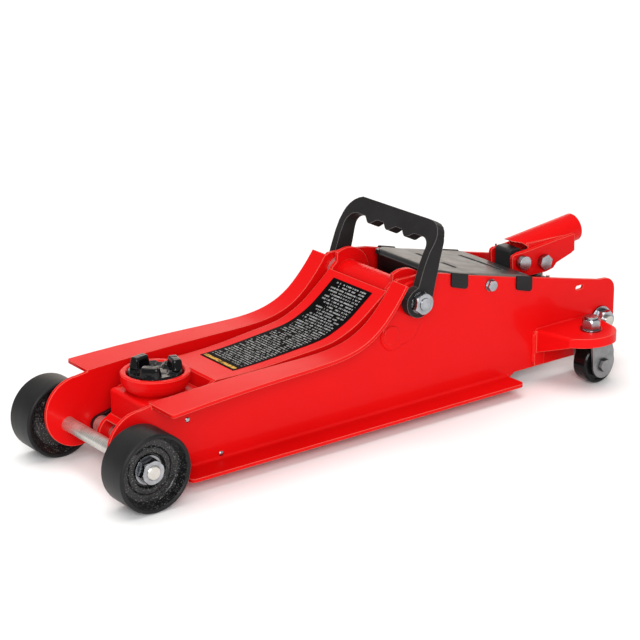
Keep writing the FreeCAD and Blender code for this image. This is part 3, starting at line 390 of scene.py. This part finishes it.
NODE_MAT = {
    "red": ["side_plate_left", "side_plate_right", "pivot_doublers", "mid_cross_tube", "lift_arm", "saddle_bracket", "saddle_cup", "arm_pivot_tube",
            "caster_bracket_left", "caster_bracket_right", "handle_socket", "cover_screw_blocks", "link_pins"],
    "wheel_face": ["front_wheel_left", "front_wheel_right"],
    "saddle": ["saddle"],
    "handle": ["carry_handle"],
    "link": ["level_links", "ram_yoke"],
    "cover": ["top_cover"],
    "decal": ["arm_label"],
    "zinc": ["axle_washers", "axle_nuts", "handle_bolts", "tie_washers", "tie_nuts", "kingpins", "socket_pin", "roller_bolt", "socket_cotter", "cover_screws",
             "saddle_pin_clips", "saddle_retainer", "filler_plug"],
    "axle_y": ["front_axle", "axle_spacers", "pivot_shaft", "pivot_spacers", "ram_cross_pin", "saddle_pin", "link_front_pin", "link_spacers", "pump_roller",
               "spring_anchor_pins", "rear_tie_rod"],
    "axle_x": ["release_valve"],
    "zinc_dull": ["caster_fork_left", "caster_fork_right", "caster_bolt_left", "caster_bolt_right"],
    "caster": ["caster_wheel_left", "caster_wheel_right"],
    "block": ["pump_block", "ram_cylinder", "gland_nut"],
    "chrome": ["ram_rod"],
    "axle_z": ["pump_plunger"],
    "seal": ["ram_piston_seal"],
    "spring": ["return_springs", "plunger_spring"],
}
for key, names in NODE_MAT.items():
    for nm in names:
        ob = nodes[nm]
        if not ob.data.materials:
            ob.data.materials.append(MAT[key])
        for i in range(len(ob.data.materials)):
            ob.data.materials[i] = MAT[key]


# ---------------------------------------------------------------------------
# mesh tools
# ---------------------------------------------------------------------------
def obj_from(name, verts, faces, mat, body, smooth_angle=35.0, replaces=(), mats=None, face_mats=None):
    me = bpy.data.meshes.new(name)
    me.from_pydata([tuple(v) for v in verts], [], faces)
    me.update()
    bm = bmesh.new()
    bm.from_mesh(me)
    bmesh.ops.recalc_face_normals(bm, faces=bm.faces)
    bm.to_mesh(me)
    bm.free()
    ob = bpy.data.objects.new(name, me)
    bpy.context.scene.collection.objects.link(ob)
    for q in (mats or [mat]):
        me.materials.append(q)
    if face_mats:
        for p, k in zip(me.polygons, face_mats):
            p.material_index = k
    finish_mesh(ob, smooth_angle)
    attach(ob, body)
    if replaces:
        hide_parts(*replaces)
    return ob


def finish_mesh(ob, smooth_angle):
    me = ob.data
    if smooth_angle is None:
        return
    me.shade_smooth()
    me.set_sharp_from_angle(angle=math.radians(smooth_angle))


def round_poly(pts, rads, n=6, closed=True):
    """Rounds the corners of a polygon; rads is one radius or one per corner."""
    out = []
    N = len(pts)
    if isinstance(rads, (int, float)):
        rads = [rads] * N
    for i in range(N):
        p = Vector(pts[i])
        if not closed and i in (0, N - 1):
            out.append(tuple(p))
            continue
        a = Vector(pts[i - 1]) - p
        b = Vector(pts[(i + 1) % N]) - p
        r = rads[i]
        la, lb = a.length, b.length
        if r <= 0 or la < 1e-9 or lb < 1e-9:
            out.append(tuple(p))
            continue
        a.normalize(); b.normalize()
        ang = a.angle(b)
        if ang > math.pi - 0.02:
            out.append(tuple(p))
            continue
        t = min(r / math.tan(ang / 2), la * 0.48, lb * 0.48)
        rr = t * math.tan(ang / 2)
        c = p + (a + b).normalized() * (rr / math.sin(ang / 2))
        s = p + a * t - c
        e = p + b * t - c
        a0 = math.atan2(s.y, s.x)
        a1 = math.atan2(e.y, e.x)
        d = (a1 - a0 + math.pi) % (2 * math.pi) - math.pi
        for k in range(n + 1):
            q = a0 + d * k / n
            out.append((c.x + rr * math.cos(q), c.y + rr * math.sin(q)))
    return out


def lathe(name, prof, centre, axis, mat, body, seg=96, replaces=(), mats=None, mat_of=None, angle=35.0, jitter=None):
    """Closed profile of (radius, along) millimetres turned about an axis through centre (row frame metres)."""
    ax = {"X": Vector((1, 0, 0)), "Y": Vector((0, 1, 0)), "Z": Vector((0, 0, 1))}[axis]
    u = {"X": Vector((0, 1, 0)), "Y": Vector((1, 0, 0)), "Z": Vector((1, 0, 0))}[axis]
    w = ax.cross(u)
    verts, faces, fm = [], [], []
    N = len(prof)
    for k in range(seg):
        a = 2 * math.pi * k / seg
        for i, (r, t) in enumerate(prof):
            if jitter:
                r, t = jitter(i, r, t, a)
            verts.append(centre + (u * math.cos(a) + w * math.sin(a)) * (r / 1000.0) + ax * (t / 1000.0))
    for k in range(seg):
        k2 = (k + 1) % seg
        for i in range(N):
            j = (i + 1) % N
            faces.append((k * N + i, k * N + j, k2 * N + j, k2 * N + i))
            fm.append(mat_of(prof[i], prof[j]) if mat_of else 0)
    return obj_from(name, verts, faces, mat, body, angle, replaces, mats, fm if mat_of else None)


def tube_mesh(points, radius, seg=10, caps=True):
    """Round tube along a list of points (metres), with parallel-transport frames."""
    verts, faces = [], []
    n = len(points)
    prev = None
    for i, p in enumerate(points):
        t = (points[min(i + 1, n - 1)] - points[max(i - 1, 0)]).normalized()
        if prev is None:
            ref = Vector((0, 0, 1)) if abs(t.z) < 0.9 else Vector((1, 0, 0))
            u = t.cross(ref).normalized()
        else:
            u = (prev - t * prev.dot(t)).normalized()
        prev = u
        w = t.cross(u)
        for k in range(seg):
            a = 2 * math.pi * k / seg
            verts.append(p + (u * math.cos(a) + w * math.sin(a)) * radius)
    for i in range(n - 1):
        for k in range(seg):
            k2 = (k + 1) % seg
            faces.append((i * seg + k, i * seg + k2, (i + 1) * seg + k2, (i + 1) * seg + k))
    if caps:
        faces.append(tuple(range(seg - 1, -1, -1)))
        faces.append(tuple((n - 1) * seg + k for k in range(seg)))
    return verts, faces


# CAD nodes: smooth shading with crisp edges
for nm, ob in nodes.items():
    finish_mesh(ob, 30.0)

# ---------------------------------------------------------------------------
# front wheels
# ---------------------------------------------------------------------------
def front_wheel(side, body, name, node):
    s = -1.0 if side < 0 else 1.0
    prof = [(6.06, 56.0), (12.0, 56.0), (12.4, 60.0), (23.6, 62.3), (28.6, 57.2), (29.4, 56.1), (31.2, 56.0), (32.48, 57.3),
            (32.48, 84.7), (31.3, 85.98), (29.6, 85.98), (28.7, 85.0), (27.0, 77.4), (25.6, 75.4), (20.0, 74.8), (19.0, 76.2), (14.6, 76.3),
            (13.8, 72.25), (6.06, 72.25)]
    rads = [0, 0.8, 1.5, 2.0, 1.5, 0.6, 0.8, 1.0, 1.0, 0.8, 0.6, 0.8, 1.6, 1.6, 1.2, 0.8, 0.8, 0.6, 0]
    pts = round_poly(prof, rads, 5)
    pts = [(r, t * s) for r, t in pts]
    c = R(0, 0, 32.5)

    def which(p, q):
        r = (p[0] + q[0]) / 2
        t = abs(p[1] + q[1]) / 2
        return 1 if r > 28.9 else 0

    rnd = noise

    def jit(i, r, t, a):
        tt = abs(t)
        if 14.5 < r < 28.4 and tt > 73.5:      # rough cast floor of the recess
            q = rnd.noise(Vector((r * math.cos(a) * 0.55, r * math.sin(a) * 0.55, s * 7.0)))
            q += 0.7 * rnd.noise(Vector((r * math.cos(a) * 1.6, r * math.sin(a) * 1.6, s * 3.0)))
            t += s * 0.20 * q
        return r, t

    return lathe(name, pts, c, "Y", None, body, seg=144, replaces=[node], mats=[MAT["wheel_face"], MAT["tread"]], mat_of=which,
                 angle=40.0, jitter=jit)


front_wheel(-1, "front_wheel_l", "wheel_front_left", "front_wheel_left")
front_wheel(1, "front_wheel_r", "wheel_front_right", "front_wheel_right")

# ---------------------------------------------------------------------------
# swivel saddle: cast disc with three raised lugs
# ---------------------------------------------------------------------------
def saddle_piece():
    cx = 55.5
    seg = 180
    def top(r, a):
        """Surface height above the floor plane for a point of the disc."""
        # recessed floor, raised rim
        if r < 11.0:
            z = 79.0 + 0.25 * math.cos(r / 11.0 * math.pi)
        elif r < 13.4:
            z = 78.75 + 1.9 * (r - 11.0) / 2.4
        elif r < 21.2:
            z = 80.65 + 0.5 * (r - 13.4) / 7.8
        else:
            z = 81.15 - 2.3 * ((r - 21.2) / 1.45) ** 2
        # lugs
        for d in (105, -15, -135):
            da = (a - math.radians(d) + math.pi) % (2 * math.pi) - math.pi
            x = r * math.cos(da)
            y = r * math.sin(da)
            if x < 0:
                continue
            ex = min(x - 12.3, 21.3 - x)
            ey = 7.9 - abs(y)
            e = min(ex, ey)
            if ex < 2.6 and ey < 2.6:          # rounded corners in plan
                e = 2.6 - math.hypot(2.6 - max(-1.0, ex), 2.6 - max(-1.0, ey))
            if e > -0.5:
                k = max(0.0, min(1.0, (e + 0.5) / 2.3))
                k = (1 - (1 - k) ** 2.6)
                z = z + (88.85 - z) * k
        # gaps between the lugs
        for d in (45, 165, 285):
            da = (a - math.radians(d) + math.pi) % (2 * math.pi) - math.pi
            y = abs(r * math.sin(da))
            if math.cos(da) > 0 and r > 11.5 and y < 3.8:
                k = max(0.0, min(1.0, (3.8 - y) / 1.6))
                z = z - 1.6 * k * min(1.0, (r - 11.5) / 2.0)
        z += 0.10 * noise.noise(Vector((r * math.cos(a) * 0.35, r * math.sin(a) * 0.35, 3.0)))
        return z

    verts, faces = [], []
    radii = [0.6, 3, 6, 8.5, 10.2, 11.0, 11.5, 11.9, 12.3, 12.6, 12.9, 13.2, 13.6, 14.1, 14.7, 15.4, 16.2, 17.2, 18.2, 19.0, 19.6, 20.1, 20.5, 20.8, 21.1, 21.4, 21.8, 22.2, 22.5, 22.65]
    for r in radii:
        for k in range(seg):
            a = 2 * math.pi * k / seg
            verts.append(R(cx + r * math.cos(a), r * math.sin(a), top(r, a)))
    low = [(22.65, 72.0), (22.6, 69.2), (21.9, 68.0), (18.0, 67.75), (8.0, 67.75), (7.9, 62.0), (0.6, 62.0)]
    for r, z in low:
        for k in range(seg):
            a = 2 * math.pi * k / seg
            verts.append(R(cx + r * math.cos(a), r * math.sin(a), z))
    n = len(radii) + len(low)
    for i in range(n):
        i2 = (i + 1) % n
        for k in range(seg):
            k2 = (k + 1) % seg
            faces.append((i * seg + k, i * seg + k2, i2 * seg + k2, i2 * seg + k))
    ob = obj_from("saddle_cast", verts, faces, MAT["saddle"], "saddle_plate", 50.0, replaces=["saddle"])
    return ob


saddle_piece()

# ---------------------------------------------------------------------------
# decal on the arm
# ---------------------------------------------------------------------------
def hit(ob, x, y, z_from=0.4):
    """Height of a CAD surface straight below a point."""
    inv = ob.matrix_world.inverted()
    o = inv @ Vector((x, y, z_from))
    d = (inv.to_3x3() @ Vector((0, 0, -1))).normalized()
    ok, loc, nor, idx = ob.ray_cast(o, d)
    return (ob.matrix_world @ loc).z if ok else None


def decal():
    # a film that lies on the arm's own top surface
    arm = nodes["lift_arm"]
    bpy.context.view_layer.update()
    x_a, x_b = R(115.0, 0, 0).x, R(257.0, 0, 0).x
    n = 150
    line = []
    for i in range(n + 1):
        x = x_a + (x_b - x_a) * i / n
        z = max(q for q in (hit(arm, x, y) for y in (-0.012, 0.0, 0.012)) if q is not None)
        line.append((x, z))
    arc = [0.0]
    for (xa, za), (xb, zb) in zip(line, line[1:]):
        arc.append(arc[-1] + math.hypot(xb - xa, zb - za))
    nor = []
    for i in range(n + 1):
        (xa, za), (xb, zb) = line[max(0, i - 1)], line[min(n, i + 1)]
        d = Vector((xb - xa, 0, zb - za)).normalized()
        nor.append(Vector((-d.z, 0, d.x)))
    W0, W1 = 0.0241, 0.0269
    cols = 14
    c = cols + 1
    verts, faces, uvs = [], [], []
    for lift in (0.00042, -0.00010):
        for i, ((x, z), sarc) in enumerate(zip(line, arc)):
            w = W0 + (W1 - W0) * (x - x_a) / (x_b - x_a)
            e = 0.0
            for k in range(c):
                t = -1 + 2 * k / cols
                y = w * t
                drop = 0.00022 if (lift > 0 and (k in (0, cols) or i in (0, n))) else 0.0
                q = Vector((x, y, z)) + nor[i] * (lift - drop)
                verts.append(q)
                uvs.append((sarc / 0.2, y / 0.2))
    base = (n + 1) * c
    for i in range(n):
        for k in range(cols):
            faces.append((i * c + k, i * c + k + 1, (i + 1) * c + k + 1, (i + 1) * c + k))
            faces.append((base + i * c + k, base + (i + 1) * c + k, base + (i + 1) * c + k + 1, base + i * c + k + 1))
        faces.append((i * c, (i + 1) * c, base + (i + 1) * c, base + i * c))
        faces.append((i * c + cols, base + i * c + cols, base + (i + 1) * c + cols, (i + 1) * c + cols))
    for k in range(cols):
        faces.append((k, base + k, base + k + 1, k + 1))
        e = n * c
        faces.append((e + k, e + k + 1, base + e + k + 1, base + e + k))
    me = bpy.data.meshes.new("arm_decal")
    me.from_pydata([tuple(v) for v in verts], [], faces)
    uvl = me.uv_layers.new(name="UVMap")
    for lp in me.loops:
        uvl.data[lp.index].uv = uvs[lp.vertex_index]
    bm = bmesh.new()
    bm.from_mesh(me)
    bmesh.ops.recalc_face_normals(bm, faces=bm.faces)
    bm.to_mesh(me)
    bm.free()
    ob = bpy.data.objects.new("arm_decal", me)
    bpy.context.scene.collection.objects.link(ob)
    me.materials.append(MAT["decal"])
    finish_mesh(ob, 40.0)
    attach(ob, "arm")
    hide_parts("arm_label")


decal()


# ---------------------------------------------------------------------------
# moulded top cover: thin shell with rolled edges, pressed grooves, front skirt and clip tabs
# ---------------------------------------------------------------------------
COVER_DZ = 1.3


def web_top(x):
    pts = [(288, 127.2), (308.8, 124.9), (345.8, 115.7), (397.8, 103.6), (500, 80.9)]
    for (x1, z1), (x2, z2) in zip(pts, pts[1:]):
        if x <= x2:
            return z1 + (z2 - z1) * (x - x1) / (x2 - x1)
    return pts[-1][1]


def smooth(t):
    t = max(0.0, min(1.0, t))
    return t * t * (3 - 2 * t)


def cover_piece():
    xs = [311.6, 311.9, 312.5, 313.3, 314.4, 316.0, 318, 320.5, 323, 325.5, 328]
    x = 330.0
    while x < 414:
        xs.append(x)
        x += 0.8 if (343 < x < 355 or 393.5 < x < 406.5) else 2.0
    xs += [414.5, 416.0, 417.3, 418.3, 419.0, 419.4]
    ts = [1.0, 0.996, 0.988, 0.976, 0.96, 0.94, 0.915, 0.88]
    t = 0.86
    while t > 0.02:
        ts.append(t)
        t -= 0.02
    ts = sorted([-q for q in ts] + [0.0] + ts)

    def half(x):
        w = 49.25
        if x < 325.5:
            w = 38.2 + (x - 311.6) * (11.05 / 13.9)
        if x > 414:
            w = 49.25 - 3.2 * ((x - 414) / 5.4) ** 2
        return w

    def groove(x, y):
        d = 0.0
        # one pressed groove right across the back, and two short ones at the front
        q = abs(x - (400.3 - 0.05 * y)) / 2.7
        e = smooth((27.5 - abs(y)) / 2.0)
        d = max(d, smooth(1.9 * (1 - q)) * e)
        q = abs(x - (349.0 - 0.04 * y)) / 2.2
        e = smooth((26.5 - abs(y)) / 2.0) * smooth((abs(y) - 7.5) / 2.0)
        d = max(d, 0.9 * smooth(1.9 * (1 - q)) * e)
        return d

    def top(x, y, w):
        z = web_top(x) + COVER_DZ
        # soften the fold where the cover changes slope
        z -= 0.35 * math.exp(-((x - 345.8) / 7.0) ** 2) - 0.0
        edge = w - abs(y)
        z -= 1.05 * (1 - smooth(edge / 5.5)) ** 1.3
        z -= 3.4 * (1 - smooth((x - 311.6) / 6.0)) ** 1.6
        z -= 1.2 * (1 - smooth((x - 311.6) / 16.0))
        z -= 0.9 * (1 - smooth((419.4 - x) / 2.6)) ** 1.6
        z -= 1.5 * groove(x, y)
        z += 0.45 * smooth((24.0 - abs(abs(y) - 0)) / 8.0) * smooth((x - 352.5) / 6) * smooth((394.5 - x) / 6)
        return z

    verts, faces = [], []
    nx, ny = len(xs), len(ts)
    for th in (0.0, 1.15):
        for x in xs:
            w = half(x)
            for t in ts:
                y = w * t
                z = top(x, y, w) - th
                if th and abs(t) > 0.9:
                    z = min(z, top(x, w * 0.9, w) - th)
                    z = max(z, web_top(x) + 0.06)
                verts.append(R(x, y, z))
    B = nx * ny
    for i in range(nx - 1):
        for k in range(ny - 1):
            a, b, c_, d = i * ny + k, i * ny + k + 1, (i + 1) * ny + k + 1, (i + 1) * ny + k
            faces.append((a, b, c_, d))
            faces.append((B + a, B + d, B + c_, B + b))
    for i in range(nx - 1):
        faces.append((i * ny, (i + 1) * ny, B + (i + 1) * ny, B + i * ny))
        faces.append((i * ny + ny - 1, B + i * ny + ny - 1, B + (i + 1) * ny + ny - 1, (i + 1) * ny + ny - 1))
    for k in range(ny - 1):
        faces.append((k, B + k, B + k + 1, k + 1))
        e = (nx - 1) * ny
        faces.append((e + k, e + k + 1, B + e + k + 1, B + e + k))
    shell = obj_from("cover_shell", verts, faces, MAT["cover"], "frame", 45.0, replaces=["top_cover"])

    def plate(name, pts, rads, y0, y1, mat):
        q = round_poly(pts, rads, 5)
        n = len(q)
        ys = [y0, y0 + (y1 - y0) * 0.25, y1 - (y1 - y0) * 0.25, y1]
        ins = [0.35, 0.0, 0.0, 0.35]
        cx = sum(a for a, b in q) / n
        cz = sum(b for a, b in q) / n
        vs, fs = [], []
        for y, o in zip(ys, ins):
            for a, b in q:
                d = math.hypot(a - cx, b - cz)
                f = (d - o) / d
                vs.append(R(cx + (a - cx) * f, y, cz + (b - cz) * f))
        for j in range(3):
            for k in range(n):
                k2 = (k + 1) % n
                fs.append((j * n + k, j * n + k2, (j + 1) * n + k2, (j + 1) * n + k))
        fs.append(tuple(range(n - 1, -1, -1)))
        fs.append(tuple(3 * n + k for k in range(n)))
        return obj_from(name, vs, fs, mat, "frame", 40.0)

    for side, nm in ((-1, "left"), (1, "right")):
        for j, (xa, xb) in enumerate(((324.0, 343.0), (399.0, 417.5))):
            ya, yb = (49.03 * side, 51.2 * side)
            pts = [(xa, web_top(xa) + COVER_DZ), (xb, web_top(xb) + COVER_DZ), (xb, web_top(xb) - 12.8), (xa, web_top(xa) - 11.8)]
            plate("cover_tab_%s_%d" % (nm, j + 1), pts, [1.2, 1.2, 3.0, 3.0], ya, yb, MAT["cover_dark"])

    # front skirt between the side plates
    vs, fs = [], []
    prof = [(313.2, 120.6), (312.2, 118.5), (312.0, 113.0), (312.4, 106.0), (313.8, 104.8), (315.0, 105.4), (314.4, 112.0), (314.6, 118.5), (315.6, 121.0)]
    ys = [-38.2, -37.7, -36.5, -34, -28, -20, -10, 0, 10, 20, 28, 34, 36.5, 37.7, 38.2]
    n = len(prof)
    for y in ys:
        bend = 1.5 * smooth((abs(y) - 30.0) / 8.2)
        ins = 0.5 if abs(y) > 38 else 0.0
        for a, b in prof:
            vs.append(R(a + bend, y, b - ins * (1 if b > 112 else -1)))
    for j in range(len(ys) - 1):
        for k in range(n):
            k2 = (k + 1) % n
            fs.append((j * n + k, j * n + k2, (j + 1) * n + k2, (j + 1) * n + k))
    fs.append(tuple(range(n - 1, -1, -1)))
    fs.append(tuple((len(ys) - 1) * n + k for k in range(n)))
    obj_from("cover_skirt", vs, fs, MAT["cover_dark"], "frame", 50.0)


cover_piece()


# ---------------------------------------------------------------------------
# weld beads and small rivets
# ---------------------------------------------------------------------------
def bead(name, pts, radius, body, seed, mat=None, pitch=0.0021):
    """Rippled weld bead along a polyline of row-frame points."""
    path = []
    for a, b in zip(pts, pts[1:]):
        n = max(2, int((b - a).length / 0.0005))
        for i in range(n):
            path.append(a.lerp(b, i / n))
    path.append(pts[-1])
    L = 0.0
    verts, faces = [], []
    seg = 14
    prev = None
    m = len(path)
    for i, q in enumerate(path):
        d = (path[min(i + 1, m - 1)] - path[max(i - 1, 0)]).normalized()
        if i:
            L += (q - path[i - 1]).length
        ref = Vector((0, 1, 0)) if abs(d.y) < 0.9 else Vector((0, 0, 1))
        u = d.cross(ref).normalized() if prev is None else (prev - d * prev.dot(d)).normalized()
        prev = u
        w = d.cross(u)
        end = min(1.0, min(i, m - 1 - i) / 5.0 + 0.12)
        rip = abs(math.sin(math.pi * L / pitch))
        for k in range(seg):
            a = 2 * math.pi * k / seg
            nz = noise.noise(q * 420.0 + Vector((seed, k * 0.35, 0)))
            r = radius * end ** 0.5 * (0.82 + 0.22 * rip + 0.20 * nz)
            verts.append(q + (u * math.cos(a) + w * math.sin(a)) * r)
    for i in range(m - 1):
        for k in range(seg):
            k2 = (k + 1) % seg
            faces.append((i * seg + k, i * seg + k2, (i + 1) * seg + k2, (i + 1) * seg + k))
    faces.append(tuple(range(seg - 1, -1, -1)))
    faces.append(tuple((m - 1) * seg + k for k in range(seg)))
    return obj_from(name, verts, faces, mat or MAT["red"], body, 75.0)


for s, nm in ((-1, "left"), (1, "right")):
    bead("weld_bracket_front_" + nm, [R(421.3, s * 50.0, 18.0), R(421.6, s * 50.2, 30.0), R(421.4, s * 50.0, 46.5)], 0.0021, "frame", 3.0 + s)
    bead("weld_bracket_top_" + nm, [R(424.0, s * 49.3, 49.0), R(446.0, s * 49.2, 49.3), R(470.0, s * 49.2, 49.3)], 0.0013, "frame", 9.0 + s)
    bead("weld_socket_" + nm, [R(429.0, s * 13.6, 109.4), R(440.0, s * 13.5, 109.9), R(478.0, s * 13.4, 114.0)], 0.0013, "socket", 15.0 + s)
    bead("weld_bracket_ear_" + nm, [R(34.0, s * 22.6, 64.4), R(46.0, s * 24.4, 64.5), R(64.0, s * 24.4, 64.5)], 0.0011, "saddle_mount", 21.0 + s)


def rivet(name, x, z, s, r=1.9):
    prof = [(0.02, 50.35), (r * 0.55, 50.25), (r * 0.9, 49.75), (r, 49.05), (r, 48.0), (0.02, 48.0)]
    pts = [(a, b * s) for a, b in prof]
    return lathe(name, pts, R(x, 0, z), "Y", MAT["zinc"], "frame", seg=28, angle=50.0)


for s, nm in ((-1, "left"), (1, "right")):
    rivet("rivet_flange_" + nm, 53.2, 53.4, s, 2.5)
    rivet("rivet_web_a_" + nm, 84.6, 16.6, s, 2.5)


# ---------------------------------------------------------------------------
# springs
# ---------------------------------------------------------------------------
def helix(p0, p1, coil_r, wire_r, turns, name, per=20, hooks=None):
    ax = (p1 - p0)
    L = ax.length
    ax.normalize()
    ref = Vector((0, 0, 1)) if abs(ax.z) < 0.9 else Vector((1, 0, 0))
    u = ax.cross(ref).normalized()
    w = ax.cross(u)
    pts = []
    n = int(turns * per)
    for i in range(n + 1):
        a = 2 * math.pi * turns * i / n
        pts.append(p0 + ax * (L * i / n) + (u * math.cos(a) + w * math.sin(a)) * coil_r)
    if hooks:
        a_pt, b_pt = hooks
        pts = [a_pt] + pts + [b_pt]
    return tube_mesh(pts, wire_r, 8)


for s, nm in ((-1, "left"), (1, "right")):
    y = 29.0 * s
    p0, p1 = R(316, y, 62), R(396, y, 62)
    v, f = helix(p0, p1, 0.0042, 0.0007, 36, "return_spring_" + nm, per=14, hooks=(R(308.0, y, 62), R(404.0, y, 62)))
    me = bpy.data.meshes.new("return_spring_" + nm)
    me.from_pydata([tuple(q) for q in v], [], f)
    ob = bpy.data.objects.new("return_spring_" + nm, me)
    bpy.context.scene.collection.objects.link(ob)
    me.materials.append(MAT["spring"])
    me.shade_smooth()
    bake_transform(ob)
    if s < 0:
        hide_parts("return_springs")

v, f = helix(R(459.0, 0, 83.4), R(459.0, 0, 87.6), 0.0083, 0.00065, 3.0, "plunger_coil", per=28)
me = bpy.data.meshes.new("plunger_coil")
me.from_pydata([tuple(q) for q in v], [], f)
ob = bpy.data.objects.new("plunger_coil", me)
bpy.context.scene.collection.objects.link(ob)
me.materials.append(MAT["spring"])
me.shade_smooth()
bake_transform(ob)
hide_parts("plunger_spring")

# ---------------------------------------------------------------------------
# stage: floor, sky and lights
# ---------------------------------------------------------------------------
def plain(name, col, rough):
    m = M(name)
    n = m.noise(3.0, 2.0)
    c = m.mix(m.ramp(n, 0.3, 0.7), col, tuple(q * 0.985 for q in col))
    m.set(Base_Color=c, Roughness=rough)
    return m.mat


me = bpy.data.meshes.new("floor")
S = 12.0
me.from_pydata([(-S, -S, -0.0004), (S, -S, -0.0004), (S, S, -0.0004), (-S, S, -0.0004)], [], [(0, 1, 2, 3)])
floor = bpy.data.objects.new("floor", me)
bpy.context.scene.collection.objects.link(floor)
me.materials.append(plain("studio_floor", (0.93, 0.93, 0.93), 0.80))

world = bpy.data.worlds.new("studio")
bpy.context.scene.world = world
world.use_nodes = True
bg = world.node_tree.nodes["Background"]
bg.inputs["Color"].default_value = (1.0, 1.0, 1.0, 1.0)
bg.inputs["Strength"].default_value = 0.48
# the sky behind the floor's edge is seen as white, and lights the object at 0.48
seen = world.node_tree.nodes.new("ShaderNodeLightPath")
lift = world.node_tree.nodes.new("ShaderNodeMath")
lift.operation = "MULTIPLY_ADD"
lift.inputs[1].default_value = 0.52
lift.inputs[2].default_value = 0.48
world.node_tree.links.new(seen.outputs["Is Camera Ray"], lift.inputs[0])
world.node_tree.links.new(lift.outputs[0], bg.inputs["Strength"])


def area(name, loc, target, size, power, size_y=None, col=(1, 1, 1)):
    d = bpy.data.lights.new(name, "AREA")
    d.energy = power
    d.size = size
    d.color = col
    if size_y:
        d.shape = "RECTANGLE"
        d.size_y = size_y
    o = bpy.data.objects.new(name, d)
    bpy.context.scene.collection.objects.link(o)
    o.location = loc
    o.visible_camera = False
    o.rotation_euler = (Vector(target) - Vector(loc)).to_track_quat("-Z", "Y").to_euler()
    return o


area("key", (-1.3, -1.9, 1.15), (0, 0, 0.06), 1.2, 44.0)
sd = bpy.data.lights.new("top", "SUN")
sd.energy = 1.68
sd.angle = math.radians(50.0)
sd.color = (1.0, 0.985, 0.96)
so = bpy.data.objects.new("top", sd)
bpy.context.scene.collection.objects.link(so)
so.rotation_euler = Vector((-0.10, 0.10, 1.0)).to_track_quat("Z", "Y").to_euler()
area("back", (1.9, 2.5, 0.80), (0, 0, 0.1), 3.4, 21.0, 1.3, (1.0, 0.86, 0.74))
